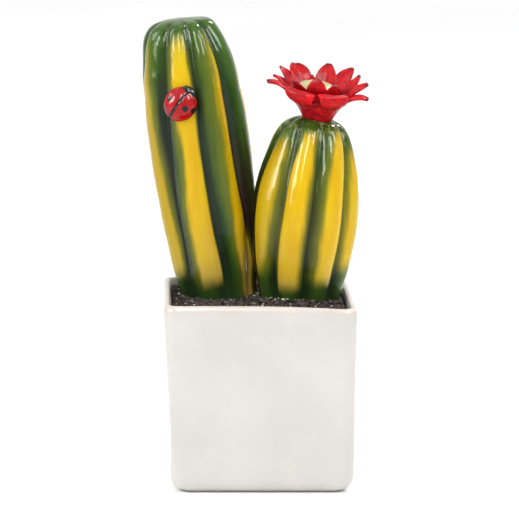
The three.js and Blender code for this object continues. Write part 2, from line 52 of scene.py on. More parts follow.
def make_camera():
    a = math.radians(CAM_AZ)
    pos = Vector((CAM_DIST * math.sin(a), -CAM_DIST * math.cos(a), CAM_HEIGHT))
    fwd = (Vector(CAM_LOOK) - pos).normalized()
    right = fwd.cross(Vector((0, 0, 1))).normalized()
    up = right.cross(fwd)
    r = math.radians(CAM_ROLL)
    right, up = right * math.cos(r) + up * math.sin(r), up * math.cos(r) - right * math.sin(r)
    cam = bpy.data.cameras.new("camera")
    cam.sensor_width = 36.0
    cam.lens = CAM_FOCAL_PX / IMAGE_PX * 36.0
    cam.clip_start, cam.clip_end = 0.05, 50.0
    ob = bpy.data.objects.new("camera", cam)
    m = Matrix((right, up, -fwd)).transposed().to_4x4()
    m.translation = (pos - Vector((FOOT_X, 0, 0))) * MM
    ob.matrix_world = m
    bpy.context.scene.collection.objects.link(ob)
    bpy.context.scene.camera = ob


make_camera()


# ----------------------------------------------------------------- helpers
def lin(hex_colour):
    """sRGB hex to the linear colour that a shader takes."""
    c = [int(hex_colour[i : i + 2], 16) / 255 for i in (0, 2, 4)]
    return tuple(x / 12.92 if x <= 0.04045 else ((x + 0.055) / 1.055) ** 2.4 for x in c) + (1.0,)


def smooth(a, b, x):
    k = np.clip((np.asarray(x, float) - a) / (b - a), 0, 1)
    return k * k * (3 - 2 * k)


def curve_through(xs, ys):
    """natural cubic curve through a table"""
    xs, ys = [float(x) for x in xs], [float(y) for y in ys]
    n = len(xs)
    h = [xs[i + 1] - xs[i] for i in range(n - 1)]
    a, b, c, d, m = [0.0] * n, [1.0] * n, [0.0] * n, [0.0] * n, [0.0] * n
    for i in range(1, n - 1):
        a[i], b[i], c[i] = h[i - 1], 2 * (h[i - 1] + h[i]), h[i]
        d[i] = 6 * ((ys[i + 1] - ys[i]) / h[i] - (ys[i] - ys[i - 1]) / h[i - 1])
    for i in range(1, n):
        w = a[i] / b[i - 1]
        b[i] -= w * c[i - 1]
        d[i] -= w * d[i - 1]
    m[n - 1] = d[n - 1] / b[n - 1]
    for i in range(n - 2, -1, -1):
        m[i] = (d[i] - c[i] * m[i + 1]) / b[i]
    X, Y, M, H = map(np.array, (xs, ys, m, h))

    def f(x):
        x = np.asarray(x, float)
        i = np.clip(np.searchsorted(X, x, side="left") - 1, 0, n - 2)
        t0, t1, k = X[i + 1] - x, x - X[i], H[i]
        return (M[i] * t0**3 + M[i + 1] * t1**3) / (6 * k) + (Y[i] / k - M[i] * k / 6) * t0 + (Y[i + 1] / k - M[i + 1] * k / 6) * t1

    return f


def table(xs, ys):
    """straight lines through a table, level beyond its ends"""
    return lambda x: np.interp(x, xs, ys)


def wobble(points, size, seed):
    """smooth noise from -1 to 1 at each point, features about size mm across"""
    off = Vector((seed * 13.7, seed * 7.3, seed * 3.1))
    return np.array([noise.noise(Vector(p) / size + off) for p in points.reshape(-1, 3)]).reshape(points.shape[:-1])


def new_object(name, verts, faces, attributes=None, smooth_shaded=True):
    me = bpy.data.meshes.new(name)
    me.from_pydata([tuple(v) for v in ((np.asarray(verts) - [FOOT_X, 0, 0]) * MM).tolist()], [], faces)
    me.update()
    if smooth_shaded:
        me.polygons.foreach_set("use_smooth", [True] * len(me.polygons))
    for key, values in (attributes or {}).items():
        at = me.attributes.new(key, "FLOAT", "POINT")
        at.data.foreach_set("value", np.asarray(values, float).ravel().tolist())
    ob = bpy.data.objects.new(name, me)
    bpy.context.scene.collection.objects.link(ob)
    return ob


def ring_faces(rows, cols, offset=0, closed=True, flip=False):
    out = []
    for i in range(rows - 1):
        for j in range(cols if closed else cols - 1):
            k = (j + 1) % cols
            q = (offset + i * cols + j, offset + i * cols + k, offset + (i + 1) * cols + k, offset + (i + 1) * cols + j)
            out.append(q[::-1] if flip else q)
    return out


def fan(centre, first, cols, flip=False):
    out = []
    for j in range(cols):
        t = (centre, first + j, first + (j + 1) % cols)
        out.append(t[::-1] if flip else t)
    return out


def closed_rings(name, rings, bottom, top, attributes=None):
    """closed surface: a point, rings anticlockwise from above going outward over the skin, a point"""
    rows, cols = rings.shape[:2]
    verts = np.concatenate([[bottom], rings.reshape(-1, 3), [top]])
    faces = fan(0, 1, cols, flip=True) + ring_faces(rows, cols, 1) + fan(rows * cols + 1, 1 + (rows - 1) * cols, cols)
    at = {}
    for key, v in (attributes or {}).items():
        v = np.asarray(v, float)
        at[key] = np.concatenate([[v[0].mean()], v.ravel(), [v[-1].mean()]])
    return new_object(name, verts, faces, at)


def finish_piece(ob, material, slot, *nodes):
    ob.data.materials.clear()
    ob.data.materials.append(material)
    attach(ob, "root")
    if nodes:
        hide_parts(*nodes)
    return ob


# --------------------------------------------------------------- materials
class Shader:
    """short-hand for a node tree that ends in one Principled BSDF"""

    def __init__(self, name):
        self.mat = bpy.data.materials.new(name)
        self.mat.use_nodes = True
        self.t = self.mat.node_tree
        self.bsdf = self.t.nodes["Principled BSDF"]
        self.coords = None

    def node(self, kind, **props):
        n = self.t.nodes.new(kind)
        for k, v in props.items():
            setattr(n, k, v)
        return n

    def link(self, a, b):
        self.t.links.new(a, b)

    def put(self, socket, value):
        if hasattr(value, "is_output"):
            self.link(value, socket)
        else:
            socket.default_value = value

    def attr(self, name):
        return self.node("ShaderNodeAttribute", attribute_type="GEOMETRY", attribute_name=name).outputs["Fac"]

    def position(self, scale=(1, 1, 1)):
        if self.coords is None:
            self.coords = self.node("ShaderNodeTexCoord").outputs["Object"]
        if scale == (1, 1, 1):
            return self.coords
        m = self.node("ShaderNodeMapping")
        m.inputs["Scale"].default_value = scale
        self.link(self.coords, m.inputs["Vector"])
        return m.outputs["Vector"]

    def noise(self, size_mm, detail=2.0, rough=0.5, stretch=(1, 1, 1), distortion=0.0):
        n = self.node("ShaderNodeTexNoise")
        n.inputs["Scale"].default_value = 1000.0 / size_mm
        n.inputs["Detail"].default_value = detail
        n.inputs["Roughness"].default_value = rough
        n.inputs["Distortion"].default_value = distortion
        self.link(self.position(stretch), n.inputs["Vector"])
        return n.outputs["Fac"]

    def cells(self, size_mm, feature="F1", randomness=1.0):
        n = self.node("ShaderNodeTexVoronoi", feature=feature)
        n.inputs["Scale"].default_value = 1000.0 / size_mm
        n.inputs["Randomness"].default_value = randomness
        self.link(self.position(), n.inputs["Vector"])
        return n.outputs["Distance"]

    def math(self, op, a, b=0.0, c=0.0, clamp=False):
        n = self.node("ShaderNodeMath", operation=op, use_clamp=clamp)
        for s, v in zip(n.inputs, (a, b, c)):
            self.put(s, v)
        return n.outputs[0]

    def ramp(self, value, lo, hi, smoothstep=True, out=(0.0, 1.0)):
        n = self.node("ShaderNodeMapRange", interpolation_type="SMOOTHSTEP" if smoothstep else "LINEAR")
        self.put(n.inputs["Value"], value)
        n.inputs["From Min"].default_value = lo
        n.inputs["From Max"].default_value = hi
        n.inputs["To Min"].default_value = out[0]
        n.inputs["To Max"].default_value = out[1]
        return n.outputs["Result"]

    def mix(self, fac, a, b, blend="MIX"):
        n = self.node("ShaderNodeMix", data_type="RGBA", blend_type=blend, clamp_factor=True)
        self.put(n.inputs[0], fac)
        for s, v in ((n.inputs[6], a), (n.inputs[7], b)):
            self.put(s, lin(v) if isinstance(v, str) else v)
        return n.outputs[2]

    def bump(self, height, distance_mm, strength=1.0, normal=None):
        n = self.node("ShaderNodeBump")
        n.inputs["Strength"].default_value = strength
        n.inputs["Distance"].default_value = distance_mm * MM
        self.link(height, n.inputs["Height"])
        if normal is not None:
            self.link(normal, n.inputs["Normal"])
        return n.outputs["Normal"]

    def set(self, **values):
        names = dict(color="Base Color", rough="Roughness", normal="Normal", coat="Coat Weight", coat_rough="Coat Roughness", ior="IOR", sss="Subsurface Weight", spec="Specular IOR Level")
        for k, v in values.items():
            self.put(self.bsdf.inputs[names[k]], lin(v) if isinstance(v, str) else v)
        return self.mat


# ------------------------------------------------------------------- cacti
class Cactus:
    def __init__(self, spec):
        self.spec = spec
        t = [p[0] for p in spec["spine"]]
        self.fx, self.fy, self.fz = [curve_through(t, [p[k] for p in spec["spine"]]) for k in (1, 2, 3)]
        self.fr = curve_through([p[0] for p in spec["radius"]], [p[1] for p in spec["radius"]])
        self.t0, self.t1, self.n = t[0], t[-1], len(spec["grooves"][0])
        self.angles = [curve_through(spec["heights"], [g[j] for g in spec["grooves"]]) for j in range(self.n)]

    def centre(self, t):
        return np.stack([self.fx(t), self.fy(t), self.fz(t)], -1)

    def frame(self, t):
        e = 1e-3 * (self.t1 - self.t0)
        t = np.asarray(t, float)
        w = self.centre(np.minimum(self.t1, t + e)) - self.centre(np.maximum(self.t0, t - e))
        w /= np.linalg.norm(w, axis=-1, keepdims=True)
        u = np.zeros_like(w)
        u[..., 0] = 1
        u -= w * (u * w).sum(-1, keepdims=True)
        u /= np.linalg.norm(u, axis=-1, keepdims=True)
        return u, np.cross(w, u), w

    def radius(self, t):
        t, s = np.asarray(t, float), self.spec
        k = np.clip((t - s["dome"]) / (self.t1 - s["dome"]), 0, 1)
        top = self.fr(s["dome"]) * np.maximum(0, 1 - k ** s["domeP"]) ** (1 / s["domeQ"])
        return np.where(t <= s["dome"], self.fr(np.minimum(t, s["dome"])), top)

    def groove(self, i, t):
        H = self.spec["heights"]
        i, t = np.broadcast_arrays(np.asarray(i), np.clip(np.asarray(t, float), H[0], H[-1]))
        out = 360.0 * np.floor(i / self.n)
        for j, f in enumerate(self.angles):
            out = out + np.where(np.mod(i, self.n) == j, f(t), 0.0)
        return out

    def skin(self, rib, phase, t, grow=0.0):
        s = self.spec
        a, b = self.groove(rib, t), self.groove(np.asarray(rib) + 1, t)
        th = np.radians(a + (b - a) * phase)
        f = 1 - s["depth"] * (1 - np.sin(np.pi * phase) ** s["power"])
        if s["squeeze"]:
            q = s["squeeze"]
            k = np.clip((q["from"] - t) / (q["from"] - q["to"]), 0, 1)
            f = np.where(np.mod(rib, self.n) == q["rib"], f * (1 - q["amount"] * k * np.sin(np.pi * phase)), f)
        r = self.radius(t) * f + grow
        u, v, w = self.frame(t)
        return self.centre(t) + u * (r * np.sin(th))[..., None] - v * (r * np.cos(th))[..., None]


TALL = Cactus(dict(
    spine=[[54, -9.01, 19.3, 53.98], [79, -16.84, 19.4, 78.94], [100, -19.91, 19.3, 99.89], [120, -21.88, 19, 119.83], [140, -24.56, 18.6, 139.7], [160, -27.61, 18.1, 159.5], [174, -29.59, 17.8, 173.2], [184, -31.5, 17.6, 183], [193, -34.55, 17.5, 193.78], [202, -35.5, 17.4, 198.16]],
    radius=[[54, 13.25], [70, 15], [79, 16.21], [90, 18.59], [100, 20.06], [110, 21.43], [122, 22.3], [134, 22.89], [146, 22.95], [158, 22.78], [170, 21.3]],
    dome=166, domeP=2.2, domeQ=2.3, heights=[74, 90, 108, 126, 144, 160, 172, 182, 190, 197],
    grooves=[
        [-92, -52, 15, 66, 106.4, 146.8, 187.2, 227.6],
        [-92, -42.5, 14.2, 64, 104.8, 145.6, 186.4, 227.2],
        [-92, -41, 6.4, 56, 98.4, 140.8, 183.2, 225.6],
        [-91, -42.8, 2.5, 45, 89.8, 134.6, 179.4, 224.2],
        [-91, -38.8, 1.6, 42, 87.4, 132.8, 178.2, 223.6],
        [-90, -34.8, 3.6, 42, 87.6, 133.2, 178.8, 224.4],
        [-88, -32.5, 4.6, 42.8, 88.6, 134.5, 180.3, 226.2],
        [-85, -30.5, 6.4, 42.6, 89.1, 135.6, 182, 228.5],
        [-80, -24, 12, 43, 90.4, 137.8, 185.2, 232.6],
        [-72, -15, 17, 46, 94.4, 142.8, 191.2, 239.6],
    ],
    depth=0.13, power=0.75, squeeze={"rib": 3, "from": 122, "to": 98, "amount": -0.08}))
SHORT = Cactus(dict(
    spine=[[54, 19.05, 6.2, 54], [79, 18.47, 5.2, 79.05], [100, 19.68, 4, 100], [120, 21.07, 3.3, 120], [140, 22.77, 3.1, 139.6], [152, 23.5, 3, 153.06], [162, 23.85, 3, 157.79]],
    radius=[[54, 13.64], [70, 16.93], [79, 18.02], [90, 20.76], [100, 22.45], [110, 23.48], [120, 23.55]],
    dome=118, domeP=1.8, domeQ=1.9, heights=[74, 88, 102, 116, 128, 138, 146, 152, 158],
    grooves=[
        [-84, -39.5, 2, 51, 97, 141.8, 186.5, 231.2],
        [-85, -36.2, 0.5, 43, 92, 137.8, 183.5, 229.2],
        [-86, -34.6, 1.2, 44.5, 91, 136.8, 182.5, 228.2],
        [-86, -30.3, 3.8, 46.8, 92, 137.5, 183, 228.5],
        [-85, -29.5, 5, 48.2, 93.5, 138.9, 184.2, 229.6],
        [-80, -30, 6.6, 53, 97, 142.8, 188.5, 234.2],
        [-74, -28.5, 9.8, 59, 102, 148, 194, 240],
        [-68, -29, 15, 67, 110, 155.5, 201, 246.5],
        [-60, -33, 25, 84, 130, 172.5, 215, 257.5],
    ],
    depth=0.13, power=0.75, squeeze=None))

# painted yellow bands: one per rib, as [place along the spine, left edge, right edge]
# across the rib (0 and 1 are its grooves), how strong the paint is along the spine,
# and how soft its left and right edges are
TALL_BANDS = {
    0: ([[84, 0.05, 0.88], [110, 0.05, 0.86], [120, 0.05, 0.83], [130, 0.05, 0.79], [140, 0.05, 0.74], [150, 0.05, 0.69], [160, 0.05, 0.63], [168, 0.06, 0.57], [176, 0.08, 0.53], [184, 0.12, 0.49], [194, 0.22, 0.46]], [[84, 0], [96, 1], [160, 0.95], [178, 0.75], [190, 0.45], [197, 0]], 1.2, 1.3),
    1: ([[84, 0.40, 0.95], [100, 0.36, 0.94], [110, 0.38, 0.96], [120, 0.42, 0.95], [130, 0.48, 0.94], [140, 0.50, 0.96], [150, 0.44, 0.93], [160, 0.34, 0.90], [168, 0.25, 0.90], [176, 0.24, 0.88], [187, 0.27, 0.79], [195, 0.38, 0.70]], [[80, 0], [90, 1], [178, 1], [188, 0.75], [195, 0]], 1.4, 0.8),
    2: ([[84, 0.55, 1.1], [92, 0.49, 1.1], [100, 0.46, 1.1], [108, 0.48, 1.1], [120, 0.58, 1.1], [130, 0.66, 1.1], [150, 0.68, 1.1], [168, 0.68, 1.1], [180, 0.70, 1.1], [190, 0.73, 1.1]], [[75, 0.5], [82, 0.95], [92, 1], [135, 0.97], [155, 0.82], [180, 0.75], [189, 0.4], [195, 0]], [[79, 0.9], [110, 1.1], [135, 2.6]], 0.6),
    3: ([[79, -0.1, 0.17], [90, -0.1, 0.15], [97, -0.1, 0.09], [104, -0.1, 0.02], [110, -0.1, -0.02], [118, 0.95, 1.2], [150, 0.93, 1.2], [180, 0.86, 1.2]], [[79, 0.85], [99, 0.9], [106, 0.4], [110, 0], [128, 0.2], [148, 0.75], [172, 0.75], [184, 0]], 0.8, 0.5),
    4: ([[76, -0.1, 0.30], [120, -0.15, 0.42], [180, -0.1, 0.50]], [[84, 0], [100, 0.9], [166, 0.9], [188, 0]], 1.0, 1.6),
    5: ([[76, 0.30, 0.86], [120, 0.34, 0.88], [180, 0.40, 0.86]], [[80, 0], [94, 1], [174, 1], [193, 0]], 1.4, 0.8),
    6: ([[76, 0.26, 0.80], [120, 0.24, 0.84], [180, 0.32, 0.80]], [[80, 0], [92, 1], [168, 1], [191, 0]], 1.6, 1.0),
    7: ([[76, 0.36, 0.94], [120, 0.40, 0.95], [180, 0.46, 0.92]], [[80, 0], [96, 1], [166, 0.9], [184, 0]], 1.4, 0.8),
}
SHORT_BANDS = {
    0: ([[90, 0.10, 0.58], [98, 0.08, 0.70], [106, 0.07, 0.76], [130, 0.06, 0.78], [142, 0.06, 0.76], [147, 0.07, 0.72], [152, 0.10, 0.65]], [[85, 0], [91, 0.5], [99, 1], [137, 1], [146, 0.5], [151, 0]], 0.7, 1.9),
    1: ([[84, 0.04, 0.82], [98, 0.05, 0.83], [114, 0.04, 0.82], [130, 0.08, 0.82], [136, 0.11, 0.84], [142, 0.19, 0.83], [147, 0.28, 0.80], [154, 0.32, 0.72]], [[81, 0], [90, 1], [144, 1], [149, 0.7], [153, 0]], 0.5, 1.6),
    2: ([[90, 0.36, 1.1], [98, 0.34, 1.1], [106, 0.30, 1.1], [122, 0.31, 1.1], [130, 0.34, 1.1], [136, 0.35, 1.1], [142, 0.39, 1.1], [147, 0.45, 1.1], [153, 0.55, 1.1]], [[84, 0], [94, 1], [145, 1], [150, 0.6], [154, 0]], 1.6, 0.5),
    3: ([[90, 0.22, 0.80], [98, 0.18, 0.88], [106, 0.09, 0.92], [130, 0.14, 0.92], [142, 0.18, 0.88], [148, 0.34, 0.80]], [[88, 0], [101, 1], [136, 1], [143, 0.5], [149, 0]], 2.6, 1.0),
    4: ([[78, 0.16, 0.72], [120, 0.12, 0.80], [146, 0.30, 0.72]], [[83, 0], [96, 1], [140, 1], [152, 0]], 1.2, 1.2),
    5: ([[78, 0.26, 0.90], [120, 0.22, 0.94], [146, 0.34, 0.86]], [[80, 0], [92, 1], [143, 1], [153, 0]], 1.5, 0.7),
    6: ([[78, 0.10, 0.68], [120, 0.06, 0.76], [146, 0.20, 0.70]], [[84, 0], [98, 1], [138, 1], [152, 0]], 0.7, 1.5),
    7: ([[78, 0.20, 0.62], [120, 0.14, 0.66], [146, 0.30, 0.60]], [[82, 0], [95, 1], [142, 1], [153, 0]], 1.4, 0.9),
}


def cactus_rings(c, body, dome, per_rib):
    d = c.spec["dome"]
    ts = [c.t0 + (d - c.t0) * i / body for i in range(body)]
    ts += [d + (c.t1 - d) * math.sin(math.pi / 2 * i / dome) for i in range(dome)]
    ts = np.array(ts)
    cols = np.arange(c.n * per_rib)
    rib = (cols // per_rib)[None, :] + 0 * ts[:, None]
    phase = (cols % per_rib)[None, :] / per_rib + 0 * ts[:, None]
    t = ts[:, None] + 0 * rib
    return rib.astype(int), phase, t


def build_cactus(name, c, bands, tones, body, dome, per_rib, seed, material, node):
    rib, phase, t = cactus_rings(c, body, dome, per_rib)
    P = c.skin(rib, phase, t)
    # hand-modelled surface: slow swells, and a finer ripple that breaks up the highlights
    centre = c.centre(t)
    out = P - centre
    size = np.linalg.norm(out, axis=-1, keepdims=True)
    out = out / np.maximum(size, 1e-6)
    hold = smooth(0, 6, size[..., 0])
    cap = smooth(c.spec["dome"] - 8, c.t1 - 4, t)
    stretched = P * np.array([1, 1, 0.35])
    swell = 0.26 * wobble(stretched, 11.0, seed) + (0.07 + 0.06 * cap) * wobble(P * np.array([1, 1, 0.55]), 3.4, seed + 1)
    P = P + out * (swell * hold)[..., None]
    band, paint, groove = np.zeros(t.shape), np.zeros(t.shape), np.sin(np.pi * phase)
    for r, (edges, strength, soft_left, soft_right) in bands.items():
        e = np.array(edges, float)
        m = rib == r
        lo, hi = np.interp(t[m], e[:, 0], e[:, 1]), np.interp(t[m], e[:, 0], e[:, 2])
        width = np.radians(c.groove(r + 1, t[m]) - c.groove(r, t[m])) * c.radius(np.minimum(t[m], c.spec["dome"] + 12))
        if isinstance(soft_left, list):
            soft_left = np.interp(t[m], *np.array(soft_left, float).T)
        band[m] = np.minimum((phase[m] - lo) * width / soft_left, (hi - phase[m]) * width / soft_right)
        s = np.array(strength, float)
        paint[m] = np.interp(t[m], s[:, 0], s[:, 1])
    attributes = {
        "band": np.clip(0.5 + band / 16.0, 0, 1),
        "paint": paint,
        "groove": groove,
        "cap": cap,
        "foot": 1 - smooth(77, 96, t),
        "along": (t - 79) / (c.t1 - 79),
    }
    # ribs painted lighter and darker as light and shade: a lighter green on the ribs turned away from the lamps, a
    # darker yellow on some ribs as painted shade; and a painted brown shadow low down where the two cacti touch
    tone, contact_shadow = np.full(t.shape, 0.5), np.zeros(t.shape)
    for r, k in tones["tone"].items():
        m = rib == r
        tone[m] = 0.5 + (k - 0.5) * np.sin(np.pi * np.clip(phase[m], 0.02, 0.98)) ** 0.5
    for r, (low, high) in tones["contact_shadow"].items():
        m = rib == r
        contact_shadow[m] = 1 - smooth(low, high, t[m])
    attributes["tone"], attributes["contact_shadow"] = tone, contact_shadow
    ob = closed_rings(name, P, c.centre(c.t0), c.centre(c.t1), attributes)
    return finish_piece(ob, material, "green_glaze", node)


def glaze_striped(name, cap_hex, mid_hex, dark_hex, foot_hex, mottle, furrow):
    s = Shader(name)
    streak = s.noise(3.0, 3.0, 0.6, (1, 1, 0.09))
    hue = s.noise(5.0, 2.0, 0.5, (1, 1, 0.12))
    blotch = s.noise(9.0, 3.0, 0.55, (1, 1, 0.45))
    fine = s.noise(1.3, 2.0, 0.6, (1, 1, 0.25))
    band = s.attr("band")
    edge = s.math("ADD", band, s.math("MULTIPLY", s.math("SUBTRACT", streak, 0.5), 0.11))
    mask = s.ramp(edge, 0.45, 0.57)
    worn = s.math("MULTIPLY", s.math("SUBTRACT", blotch, 0.5), 0.35)
    paint = s.ramp(s.math("ADD", s.attr("paint"), worn, clamp=True), 0.12, 0.90)
    mask = s.math("MULTIPLY", mask, paint)
    # greens: near black in the furrows, livelier on the crests and the crown
    crest = s.ramp(s.math("ADD", s.attr("groove"), s.math("MULTIPLY", s.math("SUBTRACT", streak, 0.5), 0.55)), 0.42, 1.02)
    crest = s.math("ADD", crest, s.math("MULTIPLY", s.attr("cap"), 0.35), clamp=True)
    green = s.mix(crest, dark_hex, mid_hex)
    # painted light: a lighter green on the ribs turned away from the lamps
    green = s.mix(s.ramp(s.attr("tone"), 0.5, 1.0), green, "4d7a2e")
    green = s.mix(s.math("MULTIPLY", s.ramp(hue, 0.52, 0.72), 0.45), green, "16351f")
    green = s.mix(s.math("MULTIPLY", s.ramp(hue, 0.46, 0.30), 0.30), green, "34310f")
    capped = s.math("MULTIPLY", s.attr("cap"), s.ramp(s.attr("groove"), 0.25, 0.95, out=(0.4, 1.0)))
    green = s.mix(s.math("MULTIPLY", capped, s.ramp(blotch, 0.3, 0.7, out=(0.5, 0.95))), green, cap_hex)
    green = s.mix(s.math("MULTIPLY", s.attr("foot"), 0.6), green, foot_hex)
    # painted shadow: brown-black low down on the ribs where the two cacti touch
    green = s.mix(s.math("MULTIPLY", s.attr("contact_shadow"), s.ramp(hue, 0.3, 0.7, out=(0.6, 0.95))), green, "2b1c1a")
    # olive where the yellow was sprayed thinly over the green
    halo = s.math("MULTIPLY", s.ramp(edge, 0.26, 0.52), paint)
    green = s.mix(s.math("MULTIPLY", halo, 0.72), green, "74741a")
    # yellows: full in the middle, paler low down and along the sharp edges; the paleness low down is partly the paint
    # and partly painted light against the shade near the soil and the other cactus
    yellow = s.mix(s.ramp(s.noise(6.0, 2.0, 0.5, (1, 1, 0.14)), 0.35, 0.7), "cfac0b", "cb9f0a")
    yellow = s.mix(s.ramp(s.attr("along"), 0.34, 0.04, out=(0.0, 0.8)), yellow, "d6b53e")
    yellow = s.mix(s.ramp(s.attr("along"), 0.80, 0.95, out=(0.0, 0.55)), yellow, "aaa62c")
    yellow = s.mix(s.ramp(fine, 0.55, 0.8, out=(0.0, 0.22)), yellow, "dcc250")
    yellow = s.mix(s.ramp(streak, 0.62, 0.78, out=(0.0, 0.4)), yellow, "c08f14")
    yellow = s.mix(s.ramp(s.attr("along"), 0.17, 0.05, out=(0.0, 0.4)), yellow, "d3b368")
    # painted shade: a darker yellow on the ribs given a low tone
    yellow = s.mix(s.ramp(s.attr("tone"), 0.5, 0.0, out=(0.0, 0.9)), yellow, "8f7c12")
    colour = s.mix(mask, green, yellow)
    drips = s.math("MULTIPLY", s.ramp(s.attr("cap"), 0.72, 1.0), s.ramp(s.noise(2.4, 3.0, 0.6, (1, 1, 0.4)), 0.50, 0.66))
    colour = s.mix(s.math("MULTIPLY", drips, mottle), colour, "aab272")
    speck = s.ramp(s.cells(2.6), 0.10, 0.04)
    speck = s.math("MULTIPLY", speck, s.ramp(s.noise(5.0), 0.56, 0.66))
    colour = s.mix(s.math("MULTIPLY", speck, 0.3), colour, "2c3320")
    height = s.math("ADD", s.math("MULTIPLY", s.noise(2.2, 2.0, 0.5, (1, 1, 0.5)), 0.6), s.math("MULTIPLY", fine, 0.4))
    normal = s.bump(height, 0.09, 0.5)
    # the furrows below the crown are duller, where the glaze pooled over the spray
    rough = s.math("MULTIPLY", s.ramp(s.attr("groove"), 0.60, 0.20), s.ramp(s.attr("cap"), 0.6, 0.0, out=(0.0, furrow)))
    rough = s.math("ADD", s.ramp(blotch, 0.2, 0.8, out=(0.07, 0.13)), rough)
    return s.set(color=colour, rough=rough, normal=normal, ior=1.27)


MAT_TALL = glaze_striped("glaze_tall", "3a5b17", "365418", "101e12", "304b22", 0.10, 0.32)
MAT_SHORT = glaze_striped("glaze_short", "42591a", "425f19", "112013", "304b22", 0.60, 0.04)
tall = build_cactus("cactus_tall", TALL, TALL_BANDS, {"tone": {0: 0.16, 2: 0.60, 3: 0.64}, "contact_shadow": {3: (118, 165), 4: (118, 165)}}, 130, 56, 20, 3, MAT_TALL, "tall_cactus")
short = build_cactus("cactus_short", SHORT, SHORT_BANDS, {"tone": {0: 0.26, 3: 0.36}, "contact_shadow": {7: (100, 150)}}, 84, 56, 20, 11, MAT_SHORT, "short_cactus")

# --------------------------------------------------------------------- pot
POT_OUTER = [[0.0, 32.6, 4.0], [0.5, 34.7, 4.6], [2.2, 37.1, 5.2], [4.6, 38.5, 5.8], [8.5, 39.1, 6.0], [24, 39.5, 6.0], [42, 39.9, 6.0], [56, 40.4, 6.0], [67, 40.8, 6.0], [75, 41.15, 6.0], [79.2, 41.1, 6.0], [80.9, 40.4, 5.6], [81.5, 39.5, 5.2]]
POT_INNER = [[81.3, 38.7, 4.8], [80.2, 38.1, 4.4], [76, 37.9, 4.2], [66, 37.4, 4.0], [50, 36.5, 4.0], [24, 36.0, 4.0], [10, 35.6, 4.0], [6.2, 34.4, 4.0], [4.2, 31.5, 3.6]]
POT_HEIGHT, RIM_DROP = 81.5, 1.5


def wall_middle(z):
    """the walls stand askew: the rim's middle is left of the foot's"""
    return FOOT_X - 0.022 * max(0.0, z - 22)


def rim_z(x, z):
    k = np.maximum(0, (x + 6) / 46.5)
    return np.where(z < 30, z, z - RIM_DROP * k * k * ((z - 30) / (POT_HEIGHT - 30)))


def rounded_square(half, corner, z, steps=10, side=14):
    pts = []
    arms = [(1, 1, 0), (-1, 1, 90), (-1, -1, 180), (1, -1, 270)]
    for s in range(4):
        sx, sy, a0 = arms[s]
        for i in range(steps + 1):
            a = math.radians(a0 + 90 * i / steps)
            pts.append((sx * (half - corner) + corner * math.cos(a), sy * (half - corner) + corner * math.sin(a), z))
        nx, ny, _ = arms[(s + 1) % 4]
        a = math.radians(a0 + 90)
        p = (sx * (half - corner) + corner * math.cos(a), sy * (half - corner) + corner * math.sin(a))
        q = (nx * (half - corner) + corner * math.cos(a), ny * (half - corner) + corner * math.sin(a))
        for i in range(1, side):
            k = i / side
            pts.append((p[0] + (q[0] - p[0]) * k, p[1] + (q[1] - p[1]) * k, z))
    return np.array(pts) + [wall_middle(z), 0, 0]


def refine(profile, step):
    """a smooth walk along a profile of [z, half, corner] rows, by the length walked"""
    p = np.array(profile, float)
    length = np.concatenate([[0], np.cumsum(np.hypot(np.diff(p[:, 0]), np.diff(p[:, 1])))])
    f = [curve_through(length, p[:, k]) for k in range(3)]
    n = max(2, int(length[-1] / step))
    s = np.linspace(0, length[-1], n + 1)
    return np.stack([g(s) for g in f], -1)


